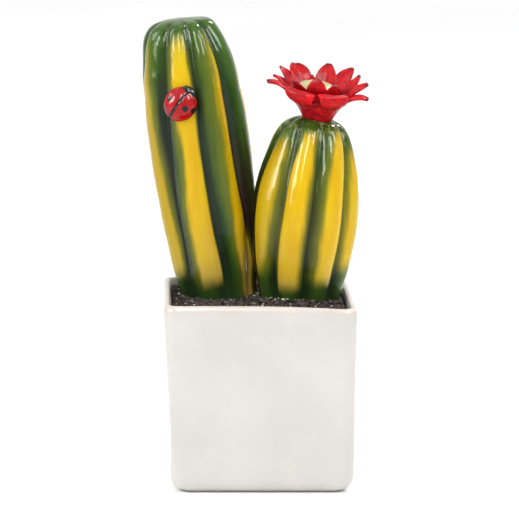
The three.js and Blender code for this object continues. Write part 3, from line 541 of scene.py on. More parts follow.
def build_pot():
    flat = [[0.0, k * 32.6, 4.0 * k] for k in (0.35, 0.7, 0.9)]
    low = refine(POT_OUTER[:5], 0.8)
    wall = refine(POT_OUTER[4:10], 3.0)[1:]
    lip = refine(POT_OUTER[9:] + POT_INNER[:3], 0.55)[1:]
    inside = refine(POT_INNER[2:], 4.0)[1:]
    rows = np.concatenate([flat, low, wall, lip, inside, [[4.2, k * 31.5, 3.6 * k] for k in (0.8, 0.5, 0.2)]])
    rings = np.array([rounded_square(h, c, z) for z, h, c in rows])
    # hand-made walls: slow swells sideways, a rim that isn't quite level
    side = rings.copy()
    side[..., 2] = 0
    out = side / np.maximum(np.linalg.norm(side, axis=-1, keepdims=True), 1e-6)
    z = rings[..., 2]
    hold = smooth(0.3, 6, z) * smooth(10, 30, np.linalg.norm(side, axis=-1))
    rings += out * (hold * (0.30 * wobble(rings, 26.0, 5) + 0.07 * wobble(rings, 7.0, 6)))[..., None]
    rings[..., 2] = rim_z(rings[..., 0], z) + smooth(60, 81, z) * (0.28 * wobble(side, 19.0, 8) + 0.06 * wobble(side, 6.0, 9))
    ob = closed_rings("pot_glazed", rings, (FOOT_X, 0, 0), (FOOT_X, 0, 4.2))
    s = Shader("glaze_white")
    tone = s.noise(34.0, 2.0, 0.5)
    cloud = s.noise(7.0, 3.0, 0.55)
    colour = s.mix(s.ramp(tone, 0.3, 0.7), "c7c4c0", "c0bdb9")
    colour = s.mix(s.ramp(cloud, 0.50, 0.80, out=(0.0, 0.35)), colour, "cecac3")
    # warm body showing where the glaze thins on the lip, and tiny pinholes
    z_at = s.node("ShaderNodeSeparateXYZ")
    s.link(s.position(), z_at.inputs[0])
    lip_band = s.math("MULTIPLY", s.ramp(z_at.outputs["Z"], 0.0770, 0.0795), s.ramp(s.noise(4.0, 3.0, 0.6), 0.35, 0.75, out=(0.15, 0.75)))
    colour = s.mix(lip_band, colour, "c6b5a5")
    pin = s.math("MULTIPLY", s.ramp(s.cells(5.5), 0.055, 0.03), s.ramp(s.noise(11.0), 0.50, 0.58))
    colour = s.mix(s.math("MULTIPLY", pin, 0.55), colour, "a0968a")
    height = s.math("ADD", s.math("MULTIPLY", s.noise(9.0, 2.0), 0.8), s.math("MULTIPLY", s.noise(1.6, 2.0), 0.12))
    height = s.math("SUBTRACT", height, s.math("MULTIPLY", pin, 0.3))
    mat = s.set(color=colour, rough=s.ramp(cloud, 0.2, 0.8, out=(0.16, 0.26)), normal=s.bump(height, 0.25, 0.35), ior=1.37)
    return finish_piece(ob, mat, "white_glaze", "pot")


pot = build_pot()

# -------------------------------------------------------------------- soil
SOIL_BOTTOM, SOIL_EDGE, SOIL_LEVEL, SOIL_HEAP = 66.3, 77.6, 78.2, 1.5
SOIL_X = wall_middle(78.0)


def soil_height(x, y):
    edge = np.maximum(np.abs(x), np.abs(y)) / 37
    z = SOIL_EDGE + (SOIL_LEVEL - SOIL_EDGE) * (1 - smooth(0.6, 1.0, edge))
    for c, reach, k in ((SHORT, 8, 0.6), (TALL, 16, -1.35)):
        p = c.centre(79.0)
        d = np.maximum(0, np.hypot(x - p[0], y - p[1]) - float(c.radius(79.0)))
        z = z + SOIL_HEAP * k * np.exp(-((d / reach) ** 2)) * (1 - smooth(0.8, 1.0, edge))
    z = z + 0.3 * np.sin(x * 0.21 + 1.3) * np.cos(y * 0.17 - 0.4)
    return rim_z(x, z)


def inside_cactus(c, x, y, z):
    """how far inside the cactus a point is, in mm, level with z"""
    t = float(z)
    p = c.centre(t)
    th = np.degrees(np.arctan2(x - p[0], -(y - p[1])))
    g = np.array([float(c.groove(i, t)) for i in range(c.n + 1)])
    th = np.where(th < g[0], th + 360, th)
    i = np.clip(np.searchsorted(g, th, side="right") - 1, 0, c.n - 1)
    ph = np.clip((th - g[i]) / (g[i + 1] - g[i]), 0, 1)
    r = float(c.radius(t)) * (1 - c.spec["depth"] * (1 - np.sin(np.pi * ph) ** c.spec["power"]))
    return r - np.hypot(x - p[0], y - p[1])


def build_soil():
    n = 190
    half = 37.4
    k = np.linspace(-1, 1, n)
    gx, gy = np.meshgrid(k, k, indexing="xy")
    # square grid drawn in to the rounded corners of the pot
    r = 4.0 / half
    ax, ay = np.abs(gx), np.abs(gy)
    cx, cy = np.maximum(0, ax - (1 - r)), np.maximum(0, ay - (1 - r))
    far = np.hypot(cx, cy)
    m = np.maximum(cx, cy)
    f = np.where(far > 1e-9, m / np.maximum(far, 1e-9), 1)
    x = SOIL_X + np.sign(gx) * (np.minimum(ax, 1 - r) + cx * f) * half
    y = np.sign(gy) * (np.minimum(ay, 1 - r) + cy * f) * half
    z = soil_height(x, y)
    P = np.stack([x, y, z], -1)
    z = z + 0.55 * wobble(P, 5.5, 21) + 0.40 * wobble(P, 2.1, 22) + 0.22 * wobble(P, 0.95, 23)
    # rises a little against the cacti, sinks inside their sockets
    for c in (TALL, SHORT):
        d = inside_cactus(c, x, y, 79.5)
        z = z + 0.5 * np.exp(-((d / 1.2) ** 2))
        z = np.where(d > 1.2, SOIL_BOTTOM + 0.4, z)
    edge = np.maximum(ax, ay)
    z = np.where(edge > 0.995, z - 0.4, z)
    top = np.stack([x, y, z], -1).reshape(-1, 3)
    low = np.stack([x, y, 0 * z + SOIL_BOTTOM], -1).reshape(-1, 3)
    faces = ring_faces(n, n, 0, closed=False)
    rim = [i for i in range(n)] + [(i + 1) * n - 1 for i in range(1, n)] + [n * n - 1 - i for i in range(1, n)] + [n * (n - 1 - i) for i in range(1, n - 1)]
    base = n * n
    verts = np.concatenate([top, low[rim], [[0, 0, SOIL_BOTTOM]]])
    for i in range(len(rim)):
        a, b = rim[i], rim[(i + 1) % len(rim)]
        faces.append((a, base + i, base + (i + 1) % len(rim), b))
        faces.append((base + i, base + len(rim), base + (i + 1) % len(rim)))
    ob = new_object("soil_bed", verts, faces)
    s = Shader("soil_dark")
    grain, patch = s.noise(0.9, 3.0, 0.7), s.noise(4.0, 3.0, 0.6)
    colour = s.mix(s.ramp(patch, 0.3, 0.7), "14100f", "221b19")
    colour = s.mix(s.ramp(grain, 0.58, 0.72), colour, "372c28")
    colour = s.mix(s.ramp(s.cells(1.5), 0.12, 0.05), colour, "5c544c")
    mat = s.set(color=colour, rough=s.ramp(grain, 0.3, 0.7, out=(0.45, 0.85)), normal=s.bump(grain, 0.35, 0.8), spec=0.25)
    return finish_piece(ob, mat, "soil", "soil")


build_soil()


def chunk_shape(seed, points):
    """a small broken lump: a ball of points pushed in and out, flattened on some sides"""
    local = random.Random(seed)
    P = points.copy()
    for _ in range(5):
        d = Vector((local.gauss(0, 1), local.gauss(0, 1), local.gauss(0, 1))).normalized()
        k = P @ np.array(d)
        cut = local.uniform(0.35, 0.8)
        P -= np.outer(np.maximum(0, k - cut), np.array(d))
    return P * np.array([local.uniform(0.7, 1.2), local.uniform(0.7, 1.2), local.uniform(0.55, 1.0)])


def ball(level):
    """points and faces of a subdivided icosahedron"""
    import bmesh

    bm = bmesh.new()
    bmesh.ops.create_icosphere(bm, subdivisions=level, radius=1.0)
    v = np.array([p.co[:] for p in bm.verts])
    f = [tuple(q.index for q in p.verts) for p in bm.faces]
    bm.free()
    return v, f


def build_grains():
    v0, f0 = ball(2)
    groups = {"soil_lumps": [], "soil_grit": [], "soil_pale_grains": []}
    shapes = [chunk_shape(100 + i, v0) for i in range(14)]
    placed = 0
    while placed < 2300:
        x, y = SOIL_X + rng.uniform(-37.0, 37.0), rng.uniform(-37.0, 37.0)
        cx, cy = max(0, abs(x - SOIL_X) - 33), max(0, abs(y) - 33)
        if math.hypot(cx, cy) > 3.8:
            continue
        if any(inside_cactus(c, np.array(x), np.array(y), 79.5) > -0.1 for c in (TALL, SHORT)):
            continue
        z = float(soil_height(np.array(x), np.array(y)))
        kind = rng.random()
        if kind < 0.76:
            group, size = "soil_lumps", rng.uniform(0.45, 1.15)
        elif kind < 0.92:
            group, size = "soil_grit", rng.uniform(0.40, 0.95)
        else:
            group, size = "soil_pale_grains", rng.uniform(0.25, 0.90)
        a = rng.uniform(0, 2 * math.pi)
        ca, sa = math.cos(a), math.sin(a)
        P = shapes[rng.randrange(len(shapes))] * size
        P = np.stack([P[:, 0] * ca - P[:, 1] * sa, P[:, 0] * sa + P[:, 1] * ca, P[:, 2]], -1)
        lift = rng.uniform(0.1, 0.55) * size + 0.15
        P = P + np.array([x, y, z + lift])
        limit = 37.3
        P[:, 0] = np.clip(P[:, 0], SOIL_X - limit, SOIL_X + limit)
        P[:, 1] = np.clip(P[:, 1], -limit, limit)
        groups[group].append((P, rng.random()))
        placed += 1
    # pale drops of glaze where the feet meet the soil
    groups["glaze_drops"] = []
    for c, count in ((TALL, 26), (SHORT, 24)):
        ce = c.centre(79.4)
        clumps = [(rng.randrange(c.n), rng.random()) for _ in range(count)]
        for _ in range(count * 5):
            rib, ph = clumps[rng.randrange(count)]
            ph = min(1.0, max(0.0, ph + rng.gauss(0, 0.06)))
            q = c.skin(np.array(rib), np.array(ph), np.array(79.4))
            out = (q - ce) * np.array([1, 1, 0])
            out = out / np.linalg.norm(out)
            q = q + out * rng.uniform(-0.1, 1.9)
            if max(abs(q[0]), abs(q[1])) > 36.6 or any(inside_cactus(k, q[0], q[1], 79.5) > 0.25 for k in (TALL, SHORT)):
                continue
            size = rng.choice((0.22, 0.3, 0.4, 0.55, 0.8))
            P = shapes[rng.randrange(len(shapes))] * size * np.array([1, 1, 0.7])
            groups["glaze_drops"].append((P + np.array([q[0], q[1], float(soil_height(q[0], q[1])) + 0.5 + rng.uniform(0, 0.6)]), rng.random()))
    colours = {
        "glaze_drops": ("3d5526", "b9c49e", "24331a"),
        "soil_lumps": ("1d1513", "3a2622", "100d0c"),
        "soil_grit": ("46352e", "6c5648", "2a2421"),
        "soil_pale_grains": ("a9a598", "d2cfc4", "868a70"),
    }
    for name, parts in groups.items():
        verts = np.concatenate([p for p, _ in parts])
        faces, shade = [], []
        for i, (p, tint) in enumerate(parts):
            o = i * len(v0)
            faces += [(a + o, b + o, c + o) for a, b, c in f0]
            shade += [tint] * len(v0)
        ob = new_object(name, verts, faces, {"tint": shade}, smooth_shaded=False)
        a, b, c = colours[name]
        s = Shader(name)
        colour = s.mix(s.ramp(s.attr("tint"), 0.2, 0.8), a, b)
        colour = s.mix(s.ramp(s.noise(0.7, 2.0), 0.5, 0.75, out=(0.0, 0.6)), colour, c)
        mat = s.set(color=colour, rough=s.ramp(s.noise(1.1), 0.3, 0.7, out=(0.35, 0.8)), normal=s.bump(s.noise(0.35, 2.0), 0.12, 0.7), spec=0.25)
        finish_piece(ob, mat, "soil")


build_grains()


# the filling is under the soil and never seen; it still gets a plaster finish
def plaster():
    s = Shader("plaster_rough")
    n = s.noise(3.0, 4.0, 0.6)
    return s.set(color=s.mix(s.ramp(n, 0.3, 0.7), "cdc6b8", "bdb5a6"), rough=s.ramp(n, 0.2, 0.8, out=(0.8, 0.95)), normal=s.bump(n, 0.3, 0.5))


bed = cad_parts["filling_bed"]
bed.data.materials.clear()
bed.data.materials.append(plaster())

# ------------------------------------------------------------------ flower
FLOWER_BASE = np.array([25.4, 1.4, 156.7])
F_FRONT, F_RIGHT = math.radians(10), math.radians(8)
AXIS = np.array([0, -math.sin(F_FRONT), math.cos(F_FRONT)])
FRONT = np.array([0, -math.cos(F_FRONT), -math.sin(F_FRONT)])
RIGHT = np.array([math.cos(F_RIGHT), 0, -math.sin(F_RIGHT)])


def flower_point(az, r, h):
    a = np.radians(az)
    r, h = np.asarray(r, float), np.asarray(h, float)
    return FLOWER_BASE + (r * np.sin(a))[..., None] * RIGHT + (r * np.cos(a))[..., None] * FRONT + h[..., None] * AXIS


OUTER_PETALS = [
    dict(az=-32, line=[[9.4, 6.2], [12.2, 9.7], [14.5, 12.9], [16.0, 14.4], [17.2, 13.8], [17.2, 12.0], [15.7, 10.2], [13.2, 8.4]], half=[2.8, 5.2, 6.9, 7.3, 7.2, 6.6, 5.4, 3.4], arch=0, wrap=1, thick=2.1),
    dict(az=23, line=[[9.4, 6.2], [12.2, 9.9], [14.5, 13.2], [16.0, 14.8], [17.3, 14.3], [17.3, 12.5], [15.8, 10.6], [13.2, 8.6]], half=[3.0, 5.4, 7.0, 7.4, 7.2, 6.6, 5.4, 3.4], arch=0, wrap=1, thick=2.1),
    dict(az=74, line=[[9.5, 7.4], [12.9, 10.5], [16.4, 12.9], [19.4, 13.9], [22.4, 13.5]], half=[2.8, 4.6, 4.6, 3.2, 0.9], arch=-0.5, wrap=0.5, thick=2),
    dict(az=94, line=[[9.8, 8.2], [13.1, 11.3], [16, 14.1], [19, 16.2], [21.8, 18.1]], half=[2.8, 3.7, 3.8, 2.9, 0.9], arch=0.5, wrap=0.45, thick=1.8),
    dict(az=113, line=[[9.9, 8.4], [13.1, 11.7], [15.4, 14.4], [17.9, 16.6], [20.2, 19.7]], half=[2.4, 3, 3, 2.4, 0.8], arch=0.4, wrap=0.45, thick=1.7),
    dict(az=133.5, line=[[9.9, 8.4], [13, 11.9], [15.5, 15], [18.5, 18], [21.8, 20.5]], half=[3, 4.2, 4.6, 3.7, 1.2], arch=0.7, wrap=0.45, thick=1.7),
    dict(az=162, line=[[9.9, 8.4], [13, 11.9], [14.9, 14.9], [17, 17.7], [19.2, 20.1]], half=[3.8, 5.2, 5, 3.6, 1.3], arch=0.8, wrap=0.45, thick=1.7),
    dict(az=-173, line=[[11.4, 8.8], [13.3, 11.2], [14.2, 12.4], [15.4, 13.5], [16.7, 14.6]], half=[1.6, 2, 2, 1.4, 0.6], arch=0.1, wrap=0.4, thick=1.3),
    dict(az=-151.6, line=[[9.9, 8.4], [13, 11.7], [15, 14.4], [17.2, 16.7], [19.8, 18.3]], half=[3.4, 4.6, 5.2, 4.7, 2.3], arch=0.8, wrap=0.45, thick=1.7),
    dict(az=-126, line=[[9.9, 8.4], [13, 11.5], [15.2, 14.1], [17.4, 16.2], [19.7, 17.7]], half=[3, 3.9, 3.8, 2.9, 1.1], arch=0.4, wrap=0.45, thick=1.7),
    dict(az=-106, line=[[9.8, 8.2], [13.1, 11.2], [15.5, 13.2], [17.7, 14.4], [19.9, 14.9]], half=[2.8, 3.3, 3.2, 2.4, 0.9], arch=0.3, wrap=0.45, thick=1.7),
    dict(az=-83, line=[[9.6, 7.8], [13, 11], [16.2, 13.2], [19.2, 14.2], [22.2, 14.1]], half=[3.4, 4.4, 4.2, 3.1, 1], arch=0.2, wrap=0.5, thick=1.9),
]
INNER_PETALS = [
    dict(az=-4, line=[[9.3, 11.6], [10.2, 14.2], [10.6, 16.5], [10.3, 18.6], [9.6, 20.3]], half=[3.8, 4.7, 4.1, 2.9, 0.9], arch=0, wrap=0.9, thick=1.6),
    dict(az=38, line=[[9.3, 11.6], [10.2, 14.1], [10.9, 15.9], [11.4, 17.2], [11.8, 18.2]], half=[3.2, 4.2, 4.0, 2.9, 1.0], arch=0, wrap=0.6, thick=1.5),
    dict(az=100, line=[[9.3, 11.6], [10.3, 13.9], [11.2, 15.4], [12, 16.7], [12.8, 17.8]], half=[2.6, 3.3, 3, 2.2, 0.8], arch=0, wrap=0.5, thick=1.4),
    dict(az=-55, line=[[9.3, 11.6], [10.2, 13.9], [11, 15.3], [11.8, 16.3], [12.6, 17.0]], half=[3.2, 4.4, 4.3, 3.2, 1.2], arch=0, wrap=0.5, thick=1.4),
    dict(az=-104, line=[[9.3, 11.6], [10.2, 13.7], [11, 14.9], [11.8, 15.8], [12.6, 16.6]], half=[2.6, 3.1, 2.8, 2.1, 0.8], arch=0, wrap=0.5, thick=1.4),
]


def build_petal(name, p, node, material, seed):
    line, half = np.array(p["line"], float), p["half"]
    ts = np.linspace(0, 1, len(line))
    fr, fh, fw = curve_through(ts, line[:, 0]), curve_through(ts, line[:, 1]), curve_through(ts, half)
    along, across = 30, 14
    rings, tip, side = [], [], []
    for i in range(along + 1):
        t = i / along
        e = 1e-3
        dr, dh = fr(min(1, t + e)) - fr(max(0, t - e)), fh(min(1, t + e)) - fh(max(0, t - e))
        L = math.hypot(dr, dh)
        nr, nh = -dh / L, dr / L
        r, h, w = float(fr(t)), float(fh(t)), float(fw(t))
        w *= 1 + 0.05 * noise.noise(Vector((t * 3.0, seed * 1.7, 0.3)))
        rnd = 1 + (p["wrap"] - 1) * float(smooth(0, 0.8, t))
        upper, lower = [], []
        for j in range(across + 1):
            s = -math.cos(math.pi * j / across)
            lift = p["arch"] * s * s * min(1, w / 3.5) * float(smooth(0.15, 0.7, t))
            lift += 0.22 * math.sin(3.0 * t + 2.2 * s + seed) * float(smooth(0.2, 0.9, t))
            lift -= 0.25 * math.exp(-((s / 0.22) ** 2)) * float(smooth(0.1, 0.5, t)) * float(smooth(1.0, 0.8, t)) * min(1, w / 3)
            th = p["thick"] / 2 * (1 - 0.35 * t) * math.sqrt(max(0.0, 1 - 0.92 * s**4))
            turn = w * s / r
            fR, fA = math.hypot(r, w * s), math.atan2(w * s, r)
            R, A = fR + (r - fR) * rnd, fA + (turn - fA) * rnd
            for face, k in ((upper, th), (lower, -th)):
                face.append(flower_point(p["az"] + math.degrees(A), R + nr * (lift + k), h + nh * (lift + k)))
        rings.append(upper + lower[::-1])
        tip.append([t] * (2 * across + 2))
        side.append([abs(-math.cos(math.pi * j / across)) for j in range(across + 1)] * 2)
    rings, tip, side = np.array(rings), np.array(tip), np.array(side)
    # round the root and the tip off with two short closing rings
    mid0, mid1 = rings[0].mean(0), rings[-1].mean(0)
    nxt = rings[-1] + (rings[-1] - rings[-2]) * 0.5
    nxt = mid1 + (nxt.mean(0) - mid1) + (nxt - nxt.mean(0)) * 0.6
    rings = np.concatenate([rings, [nxt]])
    tip, side = np.concatenate([tip, tip[-1:]]), np.concatenate([side, side[-1:]])
    end = nxt.mean(0) + (nxt.mean(0) - mid1) * 0.3
    rows, cols = rings.shape[:2]
    verts = np.concatenate([[mid0], rings.reshape(-1, 3), [end]])
    faces = fan(0, 1, cols, flip=True) + ring_faces(rows, cols, 1) + fan(rows * cols + 1, 1 + (rows - 1) * cols, cols)
    at = {"tip": np.concatenate([[0], tip.ravel(), [1]]), "side": np.concatenate([[0], side.ravel(), [0]])}
    if signed_volume(verts, faces) < 0:
        faces = [f[::-1] for f in faces]
    ob = new_object(name, verts, faces, at)
    return finish_piece(ob, material, "red_glaze", node)


def signed_volume(verts, faces):
    v, total = np.asarray(verts), 0.0
    for f in faces:
        for i in range(1, len(f) - 1):
            total += float(np.dot(v[f[0]], np.cross(v[f[i]], v[f[i + 1]])))
    return total


def red_glaze(name, petals=True):
    s = Shader(name)
    streak, cloud = s.noise(1.6, 3.0, 0.6), s.noise(4.0, 2.0, 0.5)
    colour = s.mix(s.ramp(cloud, 0.30, 0.68), "c9131c", "a00e19")
    colour = s.mix(s.ramp(streak, 0.54, 0.76, out=(0.0, 0.5)), colour, "d62c1e")
    if petals:
        far = s.math("ADD", s.attr("tip"), s.math("MULTIPLY", s.math("SUBTRACT", streak, 0.5), 0.30))
        colour = s.mix(s.ramp(far, 0.82, 1.05, out=(0.0, 0.9)), colour, "4e0b15")
        root = s.math("ADD", s.attr("tip"), s.math("MULTIPLY", s.math("SUBTRACT", cloud, 0.5), 0.30))
        colour = s.mix(s.ramp(root, 0.46, 0.12, out=(0.0, 0.6)), colour, "8e0d19")
        rim = s.math("ADD", s.attr("side"), s.math("MULTIPLY", s.math("SUBTRACT", cloud, 0.5), 0.35))
        colour = s.mix(s.ramp(rim, 0.88, 1.08, out=(0.0, 0.5)), colour, "7a101b")
    else:
        colour = s.mix(s.ramp(s.noise(3.2, 3.0, 0.6), 0.40, 0.64, out=(0.15, 0.85)), colour, "780d17")
        colour = s.mix(s.ramp(s.noise(5.5, 2.0, 0.5), 0.60, 0.74, out=(0.0, 0.55)), colour, "cf3520")
    height = s.math("ADD", s.math("MULTIPLY", streak, 0.5), s.math("MULTIPLY", cloud, 0.5))
    rough = s.ramp(cloud, 0.2, 0.8, out=(0.16, 0.28) if petals else (0.34, 0.48))
    return s.set(color=colour, rough=rough, normal=s.bump(height, 0.16, 0.5), ior=1.20 if petals else 1.16)


MAT_RED = red_glaze("glaze_red_petals")
MAT_CUP = red_glaze("glaze_red_cup", False)
for i, p in enumerate(OUTER_PETALS):
    build_petal("flower_petal_outer_%02d" % (i + 1), p, "outer_petal_%02d" % (i + 1), MAT_RED, i + 1)
for i, p in enumerate(INNER_PETALS):
    build_petal("flower_petal_inner_%02d" % (i + 1), p, "inner_petal_%02d" % (i + 1), MAT_RED, i + 31)

CUP = [[0, -0.6], [6.2, -0.6], [6.8, 0.8], [7.8, 2.8], [9.2, 5.0], [10.6, 7.0], [12.0, 9.0], [13.0, 10.6], [13.1, 11.5], [12.5, 12.1], [11.4, 11.9], [10.2, 11.0], [9.0, 10.5], [0, 10.5]]


def build_cup():
    p = np.array(CUP[1:-1], float)
    length = np.concatenate([[0], np.cumsum(np.hypot(np.diff(p[:, 0]), np.diff(p[:, 1])))])
    fr, fh = curve_through(length, p[:, 0]), curve_through(length, p[:, 1])
    s = np.linspace(0, length[-1], 60)
    az = np.arange(120) * 3.0
    R, H = fr(s)[:, None] + 0 * az, fh(s)[:, None] + 0 * az
    # the petals' roots show as soft flutes down the cup
    flute = smooth(1.0, 8.0, H) * (np.arange(60)[:, None] < 42)
    R = R - 0.30 * flute * (1 - np.cos(np.radians(az * 5.0 + 20))[None, :] ** 2)
    off = np.abs((az + 5 + 180) % 360 - 180)
    R = R + 2.2 * (1 - smooth(38, 84, off))[None, :] * smooth(4.0, 10.0, H) * (np.arange(60)[:, None] < 42)
    P = flower_point(az[None, :] + 0 * R, R, H)
    P = P + (P - FLOWER_BASE) * 0.010 * wobble(P, 5.0, 41)[..., None]
    ob = closed_rings("flower_cup_glazed", P, flower_point(0, 0.0, -0.6), flower_point(0, 0.0, 10.5))
    return finish_piece(ob, MAT_CUP, "red_glaze", "flower_cup")


def build_centre():
    r, top = 8.0, 15.8
    prof = np.array([[r - 0.6, 10.8], [r, 11.4], [r + 0.1, top - 2.2], [r - 0.3, top - 1.2], [r - 1.2, top - 0.6], [r - 2.8, top - 0.15], [r - 5, top + 0.05], [0.6, top + 0.1]])
    length = np.concatenate([[0], np.cumsum(np.hypot(np.diff(prof[:, 0]), np.diff(prof[:, 1])))])
    s = np.linspace(0, length[-1], 46)
    az = np.arange(90) * 4.0
    R = np.interp(s, length, prof[:, 0])[:, None] + 0 * az
    H = np.interp(s, length, prof[:, 1])[:, None] + 0 * az
    P = flower_point(az[None, :] + 0 * R, R, H)
    P = P + AXIS * (0.22 * wobble(P, 1.5, 51) + 0.25 * wobble(P, 4.0, 52))[..., None] * smooth(11.4, 14, H)[..., None]
    ob = closed_rings("flower_centre_dome", P, flower_point(0, 0.0, 10.8), flower_point(0, 0.0, top + 0.1), {"out": R / r})
    s = Shader("centre_green")
    cloud, fine = s.noise(2.4, 3.0, 0.6), s.noise(0.8, 2.0, 0.6)
    colour = s.mix(s.ramp(cloud, 0.3, 0.7), "8fa35a", "bcb784")
    colour = s.mix(s.ramp(fine, 0.55, 0.75, out=(0.0, 0.6)), colour, "8ea35a")
    colour = s.mix(s.ramp(s.attr("out"), 0.80, 1.02, out=(0.0, 0.7)), colour, "d9a27e")
    mat = s.set(color=colour, rough=s.ramp(cloud, 0.2, 0.8, out=(0.3, 0.5)), normal=s.bump(fine, 0.2, 0.6), coat=0.2, coat_rough=0.1)
    return finish_piece(ob, mat, "flower_centre", "flower_centre")


build_cup()
build_centre()

# --------------------------------------------------------------- ladybird
BUG_RIB, BUG_T, BUG_PHASE, BUG_LEAN = 1, 165.4, 0.55, 39
BUG_LENGTH, BUG_WIDTH, BUG_HEIGHT = 15.6, 14.2, 5.6


def bug_frame():
    def at(ph, t):
        return TALL.skin(np.array(BUG_RIB), np.array(ph), np.array(float(t)))

    p = at(BUG_PHASE, BUG_T)
    du = at(0.52, BUG_T) - at(0.48, BUG_T)
    du /= np.linalg.norm(du)
    dt = at(0.5, BUG_T + 1) - at(0.5, BUG_T - 1)
    dt /= np.linalg.norm(dt)
    out = np.cross(du, dt)
    out /= np.linalg.norm(out)
    up = dt - out * np.dot(dt, out)
    up /= np.linalg.norm(up)
    right = np.cross(up, out)
    a = math.radians(BUG_LEAN)
    head = up * math.cos(a) + right * math.sin(a)
    return p, out, head, np.cross(head, out)


BUG = bug_frame()


def bug_point(u, v, w):
    p, out, head, side = BUG
    return p + np.asarray(u)[..., None] * head + np.asarray(v)[..., None] * side + np.asarray(w)[..., None] * out


def build_ladybird():
    rows, cols = 60, 96
    f = np.linspace(-0.5, 0.5, rows + 1)[1:-1] * math.pi
    th = np.arange(cols) * 2 * math.pi / cols
    F, T = np.meshgrid(f, th, indexing="ij")
    cu, cv, cw = np.cos(F) * np.cos(T), -np.cos(F) * np.sin(T), np.sin(F)
    a, b, c = BUG_LENGTH / 2 - 0.1, BUG_WIDTH / 2 + 0.1, BUG_HEIGHT
    # wing cases: a fine furrow where they meet, widening a little at the tail
    furrow = np.exp(-((cv / 0.045) ** 2)) * smooth(-1.0, 0.3, cw) * smooth(0.95, 0.75, cu)
    scale = 1 - 0.035 * furrow
    u, v, w = -0.7 + a * cu * scale, b * cv * scale, 0.2 + c * cw * scale
    P = bug_point(u, v, w)
    P = P + BUG[1] * (0.05 * wobble(P, 2.5, 61))[..., None]
    # anticlockwise seen from outside whatever the frame
    verts = np.concatenate([[bug_point(-0.7, 0.0, 0.2 - c)], P.reshape(-1, 3), [bug_point(-0.7, 0.0, 0.2 + c)]])
    faces = fan(0, 1, cols, flip=True) + ring_faces(rows - 1, cols, 1) + fan((rows - 1) * cols + 1, 1 + (rows - 2) * cols, cols)
    if signed_volume(verts, faces) < 0:
        faces = [q[::-1] for q in faces]
    at = {"bu": np.concatenate([[0], cu.ravel(), [0]]), "bv": np.concatenate([[0], cv.ravel(), [0]]), "bw": np.concatenate([[-1], cw.ravel(), [1]])}
    body = new_object("ladybird_wing_cases", verts, faces, at)
    s = Shader("ladybird_red")
    cloud = s.noise(3.0, 2.0)
    fine = s.noise(0.9, 2.0)
    jit = s.math("MULTIPLY", s.math("SUBTRACT", fine, 0.5), 0.05)
    bu, bv, bw = s.attr("bu"), s.attr("bv"), s.attr("bw")
    colour = s.mix(s.ramp(cloud, 0.3, 0.7), "ac0610", "93050d")
    black = s.ramp(s.math("ADD", s.math("ABSOLUTE", bv), jit), 0.115, 0.075)
    black = s.math("MULTIPLY", black, s.ramp(bw, -0.1, 0.1))
    # the third spot, at the lower right edge, is painted shade
    for su, sv, r in ((0.07, 0.52, 0.18), (-0.03, -0.62, 0.15), (0.20, 0.95, 0.17)):
        du = s.math("SUBTRACT", bu, su)
        dv = s.math("SUBTRACT", bv, sv)
        d = s.math("SQRT", s.math("ADD", s.math("MULTIPLY", du, du), s.math("MULTIPLY", dv, dv)))
        spot = s.math("MULTIPLY", s.ramp(s.math("ADD", d, jit), r + 0.02, r - 0.03), s.ramp(bw, 0.0, 0.1))
        black = s.math("MAXIMUM", black, spot)
    collar = s.ramp(s.math("ADD", bu, jit), 0.80, 0.86)
    # painted shadow: black round the foot of the dome, where it meets the cactus
    base_shadow = s.ramp(s.math("ADD", bw, jit), 0.16, 0.06)
    black = s.math("MAXIMUM", black, s.math("MAXIMUM", collar, s.math("MULTIPLY", base_shadow, 0.8)))
    # painted shade: the tail end and the lower side darker, away from the light
    low = s.math("SUBTRACT", s.math("MULTIPLY", bu, -0.8), s.math("MULTIPLY", bv, 0.55))
    colour = s.mix(s.math("MULTIPLY", s.ramp(low, 0.45, 0.95), 0.65), colour, "480a10")
    colour = s.mix(black, colour, "120d0c")
    mat = s.set(color=colour, rough=s.ramp(cloud, 0.2, 0.8, out=(0.10, 0.2)), normal=s.bump(fine, 0.05, 0.3), ior=1.34)
    finish_piece(body, mat, "ladybird_red", "ladybird_body")

    rows, cols = 36, 56
    f = np.linspace(-0.5, 0.5, rows + 1)[1:-1] * math.pi
    th = np.arange(cols) * 2 * math.pi / cols
    F, T = np.meshgrid(f, th, indexing="ij")
    cu, cv, cw = np.cos(F) * np.cos(T), -np.cos(F) * np.sin(T), np.sin(F)
    eyes = sum(np.exp(-(((cu - 0.62) / 0.22) ** 2 + ((cv - k * 0.62) / 0.2) ** 2 + ((cw - 0.4) / 0.4) ** 2)) for k in (-1, 1))
    u, v, w = BUG_LENGTH / 2 - 1.9 + 2.1 * cu * (1 + 0.05 * eyes), 3.4 * cv * (1 + 0.03 * eyes), 0.2 + 2.1 * cw * (1 + 0.1 * eyes)
    P = bug_point(u, v, w)
    h0 = BUG_LENGTH / 2 - 1.9
    verts = np.concatenate([[bug_point(h0, 0.0, -1.9)], P.reshape(-1, 3), [bug_point(h0, 0.0, 2.3)]])
    faces = fan(0, 1, cols, flip=True) + ring_faces(rows - 1, cols, 1) + fan((rows - 1) * cols + 1, 1 + (rows - 2) * cols, cols)
    if signed_volume(verts, faces) < 0:
        faces = [q[::-1] for q in faces]
    head = new_object("ladybird_head_glazed", verts, faces)
    s = Shader("ladybird_black")
    n = s.noise(1.2, 2.0)
    mat = s.set(color=s.mix(s.ramp(n, 0.3, 0.7), "0c0a0a", "191615"), rough=s.ramp(n, 0.2, 0.8, out=(0.10, 0.22)), normal=s.bump(n, 0.08, 0.4), ior=1.45)
    finish_piece(head, mat, "ladybird_black", "ladybird_head")


build_ladybird()


